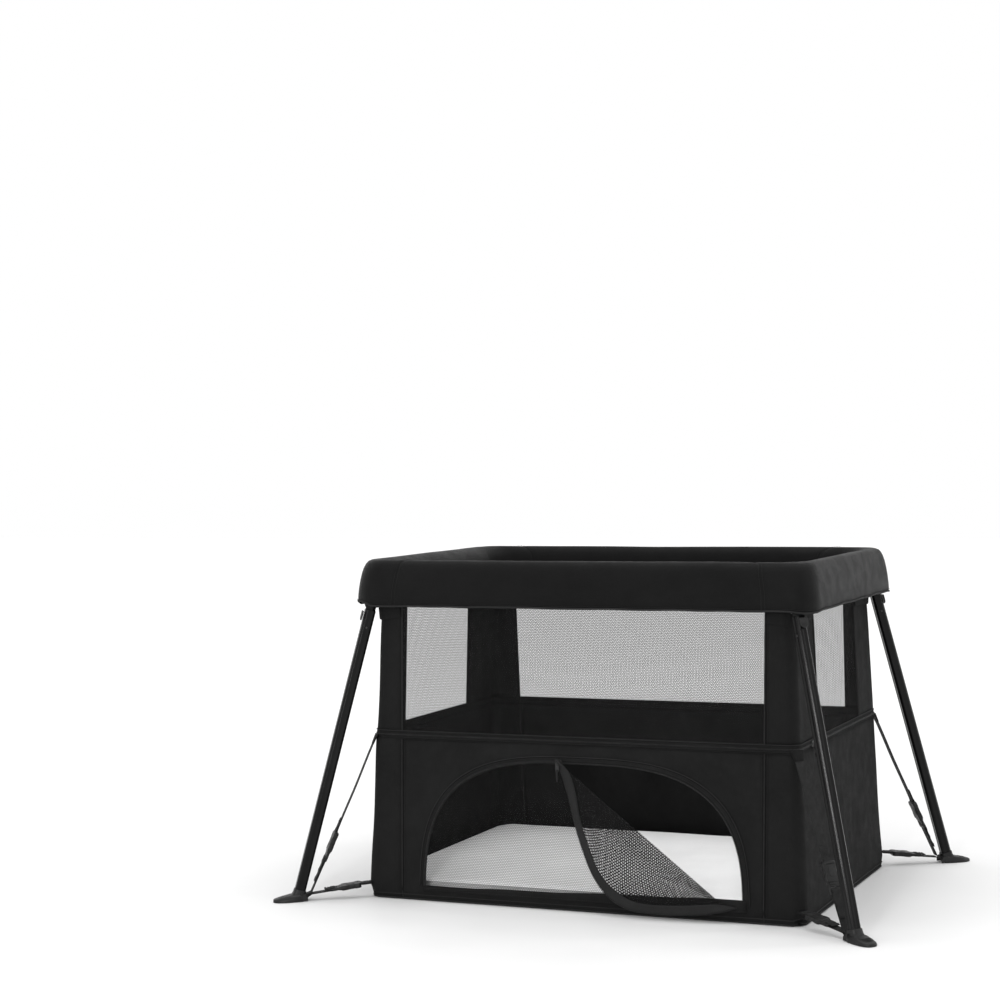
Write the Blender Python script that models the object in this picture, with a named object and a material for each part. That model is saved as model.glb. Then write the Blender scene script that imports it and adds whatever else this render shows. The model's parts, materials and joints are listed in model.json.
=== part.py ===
"""Travel playpen: a padded top frame carried by four splayed folding legs.

Fabric and mesh walls hang from the top frame, a floor tray hangs at one of two levels, a pad lies on
the tray, and an arched crawl door with a zip is cut in the front of the lower wall.
Metres, +Z up, +X along the long side, the front faces -Y, the origin is on the floor at the centre.
"""

import math

import bmesh
import bpy
from mathutils import Matrix, Vector

# ---- driving dimensions (metres) -------------------------------------------------------------
GAP = 0.0003                      # clearance left between pieces that touch

FLOOR_X, FLOOR_Y = 0.442, 0.2925  # half size of the walls at the floor
TOP_X, TOP_Y = 0.416, 0.262       # half size of the walls at TAPER_Z
TAPER_Z = 0.570
WALL_R = 0.022                    # rounding of the wall corners
WALL_TOP_Z = 0.612
CLOTH = 0.002                     # thickness of a fabric wall
NET = 0.0012                      # thickness of a mesh wall
BAND_Z0, BAND_Z1 = 0.312, 0.325   # band that carries the level zip
SEAM_X = 0.365                    # seams on the long walls
SEAM_Y = 0.142                    # seams on the end walls

TUBE_X, TUBE_Y, TUBE_Z = 0.4385, 0.2655, 0.628   # centre line of the top tubes
TUBE_CORNER_R = 0.040
TUBE_R, TUBE_WALL = 0.009, 0.0013
SLEEVE_R = 0.0115                 # outside of the corner hub's sleeves
SLEEVE_LEN = 0.022

HINGE = Vector((0.425, 0.270, 0.572))            # leg hinge of the +X +Y corner
FOOT = Vector((0.556, 0.363, 0.0))               # where that leg's axis meets the floor
LEG_W = 0.0205                    # side of the rounded square leg tube
LEG_R = 0.0055
LEG_WALL = 0.0015
CHEEK_GAP, CHEEK_T, CHEEK_R = 0.017, 0.003, 0.0095
BARREL_R = 0.0085
NECK_HALF = 0.0055                # the neck leans with the leg, so it is narrower than the fork
NECK_DEPTH = 0.007
PIN_R = 0.003
BORE_REACH = 0.03                 # half length of a cutter that clears the fork

TRAY_X, TRAY_Y = 0.408, 0.266
TRAY_R, BOARD_R = 0.032, 0.028    # corner radii of the tray and the pad, and of the board
TRAY_Z0, TRAY_Z1 = 0.001, 0.005
BOARD_IN, PAD_IN = 0.006, 0.002   # how far the board and the pad stand in from the tray's edge
PAD_CROWN = 0.010
BOARD_Z1 = 0.009
PAD_Z1 = 0.052

STRAP_W, STRAP_T = 0.020, 0.0014
JOIN_REACH, JOIN_Z = -0.027, 0.0140              # where both straps of a corner meet, by the foot
UPPER_TAB_Z, LOWER_TAB_Z = 0.316, 0.028

DOOR_X = 0.006                    # centre of the door arch
DOOR_HALF, DOOR_H = 0.322, 0.279
DOOR_POWER = 3.0                  # the arch is a superellipse of this power
DOOR_SILL = 0.030
DOOR_NET = 0.0008
SLIDER_X = -0.037                 # the door's zip is closed from the left up to here
LEVEL_SLIDER_Y = -0.190           # where the level zip's slider stands, on the right-hand end

CORNERS = {"front_left": (-1, -1), "front_right": (1, -1), "back_left": (-1, 1), "back_right": (1, 1)}


# ---- scene and materials ---------------------------------------------------------------------
def clear_scene():
    for thing in list(bpy.data.objects):
        bpy.data.objects.remove(thing, do_unlink=True)


def material(name, colour, roughness, metallic=0.0):
    made = bpy.data.materials.new(name)
    made.use_nodes = True
    shader = made.node_tree.nodes["Principled BSDF"]
    shader.inputs["Base Color"].default_value = (*colour, 1.0)
    shader.inputs["Roughness"].default_value = roughness
    shader.inputs["Metallic"].default_value = metallic
    return made


clear_scene()
FABRIC = material("black_fabric", (0.016, 0.016, 0.017), 0.85)
NETTING = material("black_mesh", (0.020, 0.020, 0.021), 0.90)
PADDING = material("padded_rim", (0.018, 0.018, 0.019), 0.80)
TUBING = material("black_tube", (0.018, 0.018, 0.019), 0.30, 0.4)
PLASTIC = material("black_plastic", (0.022, 0.022, 0.023), 0.45)
WEBBING = material("black_webbing", (0.014, 0.014, 0.015), 0.85)
PAD_CLOTH = material("grey_pad", (0.55, 0.55, 0.56), 0.90)
BOARD = material("board", (0.25, 0.20, 0.15), 0.80)
STEEL = material("steel_pin", (0.55, 0.55, 0.56), 0.35, 1.0)
ZIP = material("zip", (0.02, 0.02, 0.02), 0.50, 0.3)

bodies = {}


def body(name, place=(0, 0, 0)):
    """An empty on the joint's axis, which the body's pieces hang from."""
    empty = bpy.data.objects.new(name, None)
    empty.location = place
    bpy.context.scene.collection.objects.link(empty)
    bodies[name] = empty
    return empty


# ---- meshes ----------------------------------------------------------------------------------
def place(name, mesh, on, finish):
    """Links a mesh given in world coordinates under its body's empty."""
    parent = bodies[on]
    mesh.transform(Matrix.Translation(-parent.location))
    thing = bpy.data.objects.new(name, mesh)
    thing.parent = parent
    thing.data.materials.append(finish)
    bpy.context.scene.collection.objects.link(thing)
    return thing


def outward(mesh):
    """Turns every face of a closed mesh outwards."""
    work = bmesh.new()
    work.from_mesh(mesh)
    bmesh.ops.recalc_face_normals(work, faces=work.faces)
    work.to_mesh(mesh)
    work.free()
    return mesh


def skin(name, sections, closed=False):
    """Skins rings of equal length; open runs are capped, closed ones join their own start."""
    count = len(sections[0])
    verts = [tuple(point) for ring in sections for point in ring]
    faces = []
    spans = len(sections) if closed else len(sections) - 1
    for i in range(spans):
        a, b = i * count, ((i + 1) % len(sections)) * count
        for k in range(count):
            n = (k + 1) % count
            faces.append((a + k, a + n, b + n, b + k))
    if not closed:
        faces.append(tuple(reversed(range(count))))
        faces.append(tuple(range(len(verts) - count, len(verts))))
    mesh = bpy.data.meshes.new(name)
    mesh.from_pydata(verts, [], faces)
    return outward(mesh)


def smooth(thing, degrees=35):
    thing.data.shade_smooth()
    thing.data.set_sharp_from_angle(angle=math.radians(degrees))
    return thing


def cutter(name, mesh):
    tool = bpy.data.objects.new(name, mesh)
    tool.hide_render = True
    tool.display_type = "WIRE"
    bpy.context.scene.collection.objects.link(tool)
    return tool


def boolean(thing, mesh, operation):
    tool = cutter(f"{thing.name}_tool_{len(thing.modifiers)}", mesh)
    step = thing.modifiers.new(f"step_{len(thing.modifiers)}", "BOOLEAN")
    step.operation = operation
    step.solver = "EXACT"
    step.object = tool


def circle(centre, across, up, radius, sides):
    """Points of a circle in the plane of two unit vectors."""
    turns = [2 * math.pi * i / sides for i in range(sides)]
    return [centre + across * (radius * math.cos(t)) + up * (radius * math.sin(t)) for t in turns]


def rod(name, start, end, radius, sides=12):
    axis = (end - start).normalized()
    side = axis.cross(Vector((0, 0, 1)) if abs(axis.z) < 0.9 else Vector((1, 0, 0))).normalized()
    up = axis.cross(side)
    return skin(name, [circle(p, side, up, radius, sides) for p in (start, end)])


def block(name, centre, axes, halves):
    """A box about a centre, along three unit vectors."""
    u, v, w = (axis * half for axis, half in zip(axes, halves))
    ring = [(-1, -1), (1, -1), (1, 1), (-1, 1)]
    return skin(name, [[centre + u * a + v * b + w * end for a, b in ring] for end in (-1, 1)])


XYZ = (Vector((1, 0, 0)), Vector((0, 1, 0)), Vector((0, 0, 1)))


def mirrored(point, sx, sy):
    return Vector((point.x * sx, point.y * sy, point.z))


# ---- outlines of the walls -------------------------------------------------------------------
def wall_half(z, inset=0.0):
    """Half sizes and corner radius of the tapering walls at a height."""
    t = z / TAPER_Z
    return (
        FLOOR_X + (TOP_X - FLOOR_X) * t - inset,
        FLOOR_Y + (TOP_Y - FLOOR_Y) * t - inset,
        WALL_R - inset,
    )


def arc(cx, cy, radius, start, end, segments):
    angles = [math.radians(start + (end - start) * i / segments) for i in range(segments + 1)]
    return [(cx + radius * math.cos(a), cy + radius * math.sin(a)) for a in angles]


def corner_arc(half_x, half_y, radius, sx, sy, segments=6):
    """Corner arc from the long wall round to the end wall."""
    points = arc(half_x - radius, half_y - radius, radius, 90, 0, segments)
    return [(x * sx, y * sy) for x, y in points]


def full_outline(half_x, half_y, radius, segments=6):
    """Rounded rectangle, anticlockwise, with each point's place along its corner arc (0 to 1)."""
    points = []
    for sx, sy in ((1, 1), (-1, 1), (-1, -1), (1, -1)):
        corner = corner_arc(half_x, half_y, radius, sx, sy, segments)
        along = [i / segments for i in range(segments + 1)]
        if sx * sy > 0:
            corner.reverse()
        points += list(zip(corner, along))
    return points


def corner_path(sx, sy):
    def path(z, inset):
        half_x, half_y, radius = wall_half(z, inset)
        seam = SEAM_X + GAP / 2
        start = [(sx * seam, sy * half_y)]
        end = [(sx * half_x, sy * (SEAM_Y + GAP / 2))]
        return start + corner_arc(half_x, half_y, radius, sx, sy) + end
    return path


def end_path(sx):
    """Round a whole end of the playpen, from the front seam to the back seam."""
    def path(z, inset):
        half_x, half_y, radius = wall_half(z, inset)
        seam = SEAM_X + GAP / 2
        front = [(sx * seam, -half_y)] + corner_arc(half_x, half_y, radius, sx, -1)
        back = corner_arc(half_x, half_y, radius, sx, 1)[::-1] + [(sx * seam, half_y)]
        return front + back
    return path


def long_path(sy):
    def path(z, inset):
        half_y = wall_half(z, inset)[1]
        return [(-SEAM_X + GAP / 2, sy * half_y), (SEAM_X - GAP / 2, sy * half_y)]
    return path


def short_path(sx):
    def path(z, inset):
        half_x = wall_half(z, inset)[0]
        return [(sx * half_x, -SEAM_Y + GAP / 2), (sx * half_x, SEAM_Y - GAP / 2)]
    return path


def wall(name, path, z0, z1, thickness, finish, closed=False):
    """A thin wall that stands on a path and leans in with the taper."""
    rows = [path(z0, 0), path(z1, 0), path(z1, thickness), path(z0, thickness)]
    heights = (z0, z1, z1, z0)
    sections = [
        [Vector((*row[i], z)) for row, z in zip(rows, heights)] for i in range(len(rows[0]))
    ]
    return place(name, skin(name, sections, closed), "root", finish)


# ---- top frame -------------------------------------------------------------------------------
# outer hem, over the crest, down to the inner hem, and back under: half x, half y, radius, z
RIM_PROFILE = [
    (0.4635, 0.2915, 0.0455, 0.5665),
    (0.4615, 0.2890, 0.0455, 0.600),
    (0.4570, 0.2845, 0.0470, 0.630),
    (0.4505, 0.2770, 0.0440, 0.648),
    (0.4425, 0.2680, 0.0420, 0.655),
    (0.4250, 0.2590, 0.0440, 0.6535),
    (0.4050, 0.2500, 0.0440, 0.643),
    (0.3950, 0.2465, 0.0420, 0.625),
    (0.3935, 0.2495, 0.0430, 0.588),
    (0.3975, 0.2535, 0.0450, 0.588),
    (0.3990, 0.2505, 0.0435, 0.6235),
    (0.4075, 0.2535, 0.0440, 0.6385),
    (0.4250, 0.2615, 0.0440, 0.6495),
    (0.4405, 0.2665, 0.0410, 0.6505),
    (0.4480, 0.2740, 0.0425, 0.6445),
    (0.4537, 0.2807, 0.0445, 0.6275),
    (0.4580, 0.2855, 0.0425, 0.599),
    (0.4600, 0.2880, 0.0420, 0.5665),
]
RIM_DROOP = 0.003                 # the outer hem hangs lower at the corners
OUTER_HEM_ROWS = (0, len(RIM_PROFILE) - 1)


def rim_cover():
    rows = [full_outline(*row[:3]) for row in RIM_PROFILE]
    sections = []
    for i in range(len(rows[0])):
        section = []
        for index, (row, (*_, z)) in enumerate(zip(rows, RIM_PROFILE)):
            (x, y), along = row[i]
            droop = RIM_DROOP * math.sin(math.pi * along) if index in OUTER_HEM_ROWS else 0.0
            section.append(Vector((x, y, z - droop)))
        sections.append(section)
    return smooth(place("rim_cover", skin("rim_cover", sections, True), "root", PADDING))


TUBE_BACK = 0.002                 # the tubes end this far inside the hubs' sleeves


def top_tube(name, start, end):
    """A straight tube, open at both ends."""
    axis = (end - start).normalized()
    side = axis.cross(XYZ[2])
    rings = [(start, TUBE_R), (end, TUBE_R), (end, TUBE_R - TUBE_WALL), (start, TUBE_R - TUBE_WALL)]
    sections = [circle(p, side, XYZ[2], r, 12) for p, r in rings]
    return smooth(place(name, skin(name, sections, True), "root", TUBING))


def top_tubes():
    run_x = TUBE_X - TUBE_CORNER_R - TUBE_BACK
    run_y = TUBE_Y - TUBE_CORNER_R - TUBE_BACK
    for name, sy in (("front", -1), ("back", 1)):
        ends = [Vector((sx * run_x, sy * TUBE_Y, TUBE_Z)) for sx in (-1, 1)]
        top_tube(f"top_tube_{name}", *ends)
    for name, sx in (("left", -1), ("right", 1)):
        ends = [Vector((sx * TUBE_X, sy * run_y, TUBE_Z)) for sy in (-1, 1)]
        top_tube(f"top_tube_{name}", *ends)


YOKE_TOP = 0.600
YOKE_BACK = 0.002                 # the yoke stands this far inboard of the pin
STEM_HALF = (0.0095, 0.0075)      # half section of the stem between the elbow and the yoke
STEM_AT = Vector((-0.0005, -0.0095, 0))   # its middle, from the pin of the +X +Y corner
STEM_LOW, STEM_TOP = YOKE_TOP - 0.012, TUBE_Z - 0.004
SLOT_ABOVE, SLOT_BELOW = 0.004, 0.030     # the slot's reach above the leg's knuckle and below the pin


def corner_hub(name, sx, sy):
    """Elbow that holds two top tubes, with a fork below it for the leg."""
    bend = corner_arc(TUBE_X, TUBE_Y, TUBE_CORNER_R, 1, 1, 5)
    long_end = Vector((TUBE_X - TUBE_CORNER_R - SLEEVE_LEN, TUBE_Y, TUBE_Z))
    short_end = Vector((TUBE_X, TUBE_Y - TUBE_CORNER_R - SLEEVE_LEN, TUBE_Z))
    path = [long_end] + [Vector((x, y, TUBE_Z)) for x, y in bend] + [short_end]
    sections = []
    for i, point in enumerate(path):
        before, after = path[max(i - 1, 0)], path[min(i + 1, len(path) - 1)]
        side = (after - before).normalized().cross(XYZ[2])
        ring = circle(point, side, XYZ[2], SLEEVE_R, 14)
        sections.append([mirrored(p, sx, sy) for p in ring])
    hub = place(name, skin(name, sections), "root", PLASTIC)
    pivot = mirrored(HINGE, sx, sy)
    # yoke from the elbow down to the fork, its width the two cheeks and the gap between them
    yoke_half = CHEEK_GAP / 2 + CHEEK_T
    centre = Vector((pivot.x, pivot.y - sy * YOKE_BACK, (YOKE_TOP + HINGE.z) / 2))
    halves = (yoke_half, CHEEK_R - YOKE_BACK, (YOKE_TOP - HINGE.z) / 2)
    boolean(hub, block(name, centre, XYZ, halves), "UNION")
    stem = pivot + mirrored(STEM_AT, sx, sy)
    stem.z = (STEM_TOP + STEM_LOW) / 2
    boolean(hub, block(name, stem, XYZ, (*STEM_HALF, (STEM_TOP - STEM_LOW) / 2)), "UNION")
    across = Vector((yoke_half, 0, 0))
    boolean(hub, rod(name, pivot - across, pivot + across, CHEEK_R, 20), "UNION")
    # slot for the leg's knuckle
    slot_top = HINGE.z + BARREL_R + SLOT_ABOVE
    slot_low = HINGE.z - SLOT_BELOW
    slot_centre = Vector((pivot.x, pivot.y, (slot_top + slot_low) / 2))
    slot = (CHEEK_GAP / 2, SLOT_BELOW, (slot_top - slot_low) / 2)
    boolean(hub, block(name, slot_centre, XYZ, slot), "DIFFERENCE")
    reach = Vector((BORE_REACH, 0, 0))
    boolean(hub, rod(name, pivot - reach, pivot + reach, PIN_R + GAP, 16), "DIFFERENCE")
    # bores for the two tubes, a little deeper than the tubes reach
    bore = TUBE_R + GAP
    tip_x = Vector((TUBE_X - TUBE_CORNER_R, TUBE_Y, TUBE_Z))
    tip_y = Vector((TUBE_X, TUBE_Y - TUBE_CORNER_R, TUBE_Z))
    for tip, way in ((tip_x, -XYZ[0]), (tip_y, -XYZ[1])):
        start, end = mirrored(tip, sx, sy), mirrored(tip + way * (SLEEVE_LEN + 0.01), sx, sy)
        boolean(hub, rod(name, start, end, bore, 12), "DIFFERENCE")
    return smooth(hub)


HEAD_T = 0.0012
HEAD_R, HEAD_EDGE_R = PIN_R + 0.0012, PIN_R + 0.0016


def pivot_pin(name, sx, sy):
    """Headed rivet through the fork and the leg."""
    pivot = mirrored(HINGE, sx, sy)
    half = CHEEK_GAP / 2 + CHEEK_T
    stations = [
        (-half - HEAD_T, HEAD_R),
        (-half - GAP, HEAD_EDGE_R),
        (-half - GAP, PIN_R),
        (half + GAP, PIN_R),
        (half + GAP, HEAD_EDGE_R),
        (half + HEAD_T, HEAD_R),
    ]
    sections = [circle(pivot + Vector((x, 0, 0)), XYZ[1], XYZ[2], r, 16) for x, r in stations]
    return smooth(place(name, skin(name, sections), "root", STEEL))


# ---- legs ------------------------------------------------------------------------------------
def leg_frame(sx, sy):
    """Hinge point, unit vector down the leg, and the unit vectors outboard and sideways of it."""
    hinge, foot = mirrored(HINGE, sx, sy), mirrored(FOOT, sx, sy)
    down = (foot - hinge).normalized()
    side = down.cross(XYZ[2]).normalized()
    out = side.cross(down).normalized()
    if out.x * sx < 0:
        out = -out
    return hinge, down, out, side


def rounded_square(centre, u, v, width, radius, segments=3):
    half = width / 2
    points = full_outline(half, half, radius, segments)
    return [centre + u * x + v * y for (x, y), _ in points]


# distances down the leg from its hinge, and up from its foot
LEG_TOP, LEG_CEILING, LEG_END = 0.0145, 0.020, 0.0192
NECK_AT, NECK_LENGTH = 0.010, 0.016


def leg_tube(name, sx, sy, on):
    """Hollow tube, open at the foot, with a knuckle at the top that turns on the pin."""
    hinge, down, out, side = leg_frame(sx, sy)
    length = (FOOT - HINGE).length
    top, low = hinge + down * LEG_TOP, hinge + down * (length - LEG_END)
    ceiling = hinge + down * LEG_CEILING
    bore = LEG_W - 2 * LEG_WALL
    stations = [
        (ceiling, bore, LEG_R - LEG_WALL),
        (low, bore, LEG_R - LEG_WALL),
        (low, LEG_W, LEG_R),
        (top, LEG_W, LEG_R),
    ]
    sections = [rounded_square(p, out, side, w, r) for p, w, r in stations]
    leg = place(name, skin(name, sections), on, TUBING)
    across = Vector((CHEEK_GAP / 2 - GAP, 0, 0))
    # neck between the barrel and the tube, square to the pin
    neck_axes = (XYZ[0], down.cross(XYZ[0]).normalized(), down)
    neck_halves = (NECK_HALF, NECK_DEPTH, NECK_LENGTH / 2)
    neck = block(name, hinge + down * NECK_AT, neck_axes, neck_halves)
    boolean(leg, neck, "UNION")
    boolean(leg, rod(name, hinge - across, hinge + across, BARREL_R, 20), "UNION")
    reach = Vector((BORE_REACH, 0, 0))
    boolean(leg, rod(name, hinge - reach, hinge + reach, PIN_R + GAP, 16), "DIFFERENCE")
    return smooth(leg)


FOOT_IN, FOOT_TIP = -0.019, 0.046   # the pad's reach along the splay, from the leg's axis
BAR_AT, BAR_R, BAR_Z = -0.0155, 0.0025, 0.0085
NOTCH_HALF = 0.0112
NOTCH_CLEAR = 0.0065                # the notch's reach beyond the bar, towards the leg
PLUG_LOW, PLUG_TOP = 0.010, 0.040   # the plug inside the leg, up from the floor along the leg
# stations along the splay: reach, half width, top height
FOOT_STATIONS = [
    (FOOT_IN, 0.0150, 0.0120),
    (-0.010, 0.0175, 0.0150),
    (0.006, 0.0200, 0.0150),
    (0.020, 0.0205, 0.0125),
    (0.034, 0.0185, 0.0090),
    (0.042, 0.0135, 0.0068),
    (FOOT_TIP, 0.0085, 0.0055),
]
FOOT_EDGE, FOOT_SHOULDER = 0.45, 0.72   # height share where the sides lean in, width share at the top


def foot_axes(sx, sy):
    run = mirrored(FOOT - HINGE, sx, sy)
    run.z = 0
    run.normalize()
    return mirrored(FOOT, sx, sy), run, run.cross(XYZ[2])


def foot(name, sx, sy, on):
    """Wedge-shaped pad with a plug that fits up inside the leg, and a bar for the straps."""
    base, run, side = foot_axes(sx, sy)
    sections = []
    for reach, half, height in FOOT_STATIONS:
        edge, shoulder = height * FOOT_EDGE, half * FOOT_SHOULDER
        profile = [(-half, 0), (half, 0), (half, edge), (shoulder, height)]
        profile += [(-shoulder, height), (-half, edge)]
        sections.append([base + run * reach + side * a + XYZ[2] * z for a, z in profile])
    pad = place(name, skin(name, sections), on, PLASTIC)
    hinge, down, out, across = leg_frame(sx, sy)
    length = (FOOT - HINGE).length
    bore = LEG_W - 2 * LEG_WALL - 2 * GAP
    ends = (hinge + down * (length - PLUG_LOW), hinge + down * (length - PLUG_TOP))
    plug = skin(name, [rounded_square(p, out, across, bore, LEG_R - LEG_WALL - GAP) for p in ends])
    boolean(pad, plug, "UNION")
    # notch at the inner end, with a round bar across it for the straps
    notch_from, notch_to = FOOT_IN - 0.010, BAR_AT + NOTCH_CLEAR
    notch = base + run * ((notch_from + notch_to) / 2)
    halves = ((notch_to - notch_from) / 2, NOTCH_HALF, 0.040)
    boolean(pad, block(name, notch, (run, side, XYZ[2]), halves), "DIFFERENCE")
    bar = base + run * BAR_AT + XYZ[2] * BAR_Z
    reach = side * (NOTCH_HALF + 0.002)
    boolean(pad, rod(name, bar - reach, bar + reach, BAR_R, 10), "UNION")
    return pad


# ---- straps ----------------------------------------------------------------------------------
def band(name, points, sizes, across):
    """A band with a rectangular section of its own width, thickness and sideways vector at each point."""
    sections = []
    for i, (point, size, side) in enumerate(zip(points, sizes, across)):
        before, after = points[max(i - 1, 0)], points[min(i + 1, len(points) - 1)]
        normal = (after - before).normalized().cross(side).normalized()
        half_w, half_t = size[0] / 2, size[1] / 2
        ring = [(-half_w, -half_t), (half_w, -half_t), (half_w, half_t), (-half_w, half_t)]
        sections.append([point + side * a + normal * b for a, b in ring])
    return skin(name, sections)


SOCKET = (0.026, 0.0095, 0.036)   # buckle socket: width, thickness, length
PLUG = (0.024, 0.0070, 0.022)     # the part of the buckle's plug outside the socket
CLOTH_BAND = (STRAP_W, STRAP_T)
STRAP_APART = 0.0016              # half the distance between the two runs where they meet
TAB_PULL = WALL_R * (1 - math.sqrt(0.5)) - 0.0016   # from the corner of the outline in to its rounding


def strap_line(sx, sy, tab_z):
    """From the wall's corner to the point by the foot where the straps meet."""
    half_x, half_y, _ = wall_half(tab_z)
    start = Vector((sx * (half_x - TAB_PULL), sy * (half_y - TAB_PULL), tab_z))
    base, run, _ = foot_axes(sx, sy)
    return start, base + run * JOIN_REACH + XYZ[2] * JOIN_Z


def strap_half(name, sx, sy, tab_z, share):
    """Wall side of a strap: webbing and the buckle's socket."""
    start, end = strap_line(sx, sy, tab_z)
    way = (end - start).normalized()
    across = way.cross(XYZ[2]).normalized()
    run = (end - start).length * share
    width, thick, length = SOCKET
    stops = [0.0, run, run + 0.003, run + length - 0.002, run + length]
    sizes = [CLOTH_BAND, CLOTH_BAND, (width, thick), (width, thick), (width - 0.003, thick - 0.002)]
    points = [start + way * s for s in stops]
    return place(name, band(name, points, sizes, [across] * len(points)), "root", WEBBING)


UPPER_SHARE, LOWER_SHARE = 0.62, 0.18


def foot_strap(name, sx, sy, on):
    """One webbing from the upper buckle's plug, round the foot's bar, to the lower buckle's plug."""
    base, run, side = foot_axes(sx, sy)
    bar = base + run * BAR_AT + XYZ[2] * BAR_Z
    join = base + run * JOIN_REACH + XYZ[2] * JOIN_Z
    ends = []
    for tab_z, share in ((UPPER_TAB_Z, UPPER_SHARE), (LOWER_TAB_Z, LOWER_SHARE)):
        start, end = strap_line(sx, sy, tab_z)
        way = (end - start).normalized()
        ends.append((start + way * ((end - start).length * share + SOCKET[2] + GAP), way))
    (upper, upper_way), (lower, lower_way) = ends
    length = PLUG[2]
    loop_r = BAR_R + GAP + STRAP_T / 2
    turn = [math.radians(a) for a in (100, 60, 20, -20, -60, -100)]
    lift = XYZ[2] * STRAP_APART
    inward = [upper, upper + upper_way * length, upper + upper_way * (length + 0.002)]
    inward += [join + lift - upper_way * 0.008]
    loop = [bar + run * (loop_r * math.cos(a)) + XYZ[2] * (loop_r * math.sin(a)) for a in turn]
    loop = [join + lift] + loop + [join - lift]
    outward_run = [join - lift * 0.6 - lower_way * 0.014, lower + lower_way * (length + 0.002)]
    outward_run += [lower + lower_way * length, lower]
    points = inward + loop + outward_run
    sizes = [PLUG[:2]] * 2 + [CLOTH_BAND] * (len(points) - 4) + [PLUG[:2]] * 2
    across = [upper_way.cross(XYZ[2]).normalized()] * len(inward) + [side] * len(loop)
    across += [lower_way.cross(XYZ[2]).normalized()] * len(outward_run)
    return place(name, band(name, points, sizes, across), on, WEBBING)


# ---- release buttons -------------------------------------------------------------------------
BUTTON_W, BUTTON_T, BUTTON_L = 0.016, 0.003, 0.0095
BUTTON_DOWN, BUTTON_OUT = 0.0278, 0.0030    # down the leg from the hinge, and clear of the leg's face


def release_button(name, sx, sy, on):
    """Rounded tongue over the leg's outboard face, pressed to let the leg fold."""
    hinge, down, out, side = leg_frame(sx, sy)
    half = BUTTON_W / 2
    centre = hinge + down * BUTTON_DOWN + out * (LEG_W / 2 + BUTTON_OUT + BUTTON_T / 2)
    outline = [(-half, -BUTTON_L / 2), (half, -BUTTON_L / 2)]
    outline += arc(0, BUTTON_L / 2 - half, half, 0, 180, 8)
    faces = (-BUTTON_T / 2, BUTTON_T / 2)
    rings = [[centre + side * a + down * b + out * t for a, b in outline] for t in faces]
    return smooth(place(name, skin(name, rings), on, PLASTIC))


# ---- crawl door ------------------------------------------------------------------------------
LEAN = (FLOOR_Y - TOP_Y) / TAPER_Z
DOOR_OUT = Vector((0, -1, LEAN)).normalized()


def on_front(x, z, out=0.0):
    """A point of the leaning front wall, a distance outside its face."""
    return Vector((x, -(FLOOR_Y - LEAN * z), z)) + DOOR_OUT * out


def arch_z(x):
    share = min(abs(x - DOOR_X) / DOOR_HALF, 1.0)
    return DOOR_H * (1 - share ** DOOR_POWER) ** (1 / DOOR_POWER)


def arch_points(start, end, inset, count):
    """Points of the arch between two turns, from the left sill (180) to the right sill (0)."""
    half, height = DOOR_HALF - inset, DOOR_H - inset
    points = []
    for i in range(count + 1):
        a = math.radians(start + (end - start) * i / count)
        c, s = math.cos(a), math.sin(a)
        x = math.copysign(abs(c) ** (2 / DOOR_POWER), c) * half
        points.append((DOOR_X + x, max(s, 0.0) ** (2 / DOOR_POWER) * height))
    return points


def turn_at_sill(inset=0.0):
    """The arch's turn, in degrees, at which it meets the sill."""
    return math.degrees(math.asin((DOOR_SILL / (DOOR_H - inset)) ** (DOOR_POWER / 2)))


def turn_at_slider(inset=0.0):
    share = abs(SLIDER_X - DOOR_X) / (DOOR_HALF - inset)
    return 180 - math.degrees(math.acos(share ** (DOOR_POWER / 2)))


def slab(name, outline, inner, outer):
    """A flat piece in the front wall's plane, between two distances from its face."""
    rings = [[on_front(x, z, out) for x, z in outline] for out in (inner, outer)]
    return skin(name, rings)


SLIDER_AT = (SLIDER_X, arch_z(SLIDER_X))
SILL_AT = (0.290, DOOR_SILL)        # where the fold line of the open flap meets the sill
FLAP_OUT = 0.0060                 # the open flap lies this far outside the wall's face
HINGE_OUT = (FLAP_OUT - CLOTH / 2) / 2
FLAP_LOW = 0.006                  # the flap's free edge rests just above the floor
ZIP_GAP, FOLD_GAP, FOLD_END = 0.003, 0.0015, 0.012
NET_INSET = 0.0008                # between the closed net and the edge of the arch
THROUGH = 0.02                    # half depth of the arch's cutter


def skirt_front():
    panel = wall("skirt_front", long_path(-1), 0.0, BAND_Z0 - GAP, CLOTH, FABRIC)
    sill = turn_at_sill()
    outline = arch_points(180 - sill, sill, 0.0, 28)
    boolean(panel, slab("skirt_front", outline, -THROUGH, THROUGH), "DIFFERENCE")
    return panel


def door_mesh():
    """The part of the door that is still zipped: left of and below the fold line."""
    sill = turn_at_sill(NET_INSET)
    outline = arch_points(180 - sill, turn_at_slider(NET_INSET), NET_INSET, 12)
    outline += [(SILL_AT[0] - 0.004, DOOR_SILL + NET_INSET)]
    outline = [(x, max(z, DOOR_SILL + NET_INSET)) for x, z in outline]
    mesh = slab("door_mesh", outline, -CLOTH / 2 - DOOR_NET / 2, -CLOTH / 2 + DOOR_NET / 2)
    return place("door_mesh", mesh, "root", NETTING)


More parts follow.
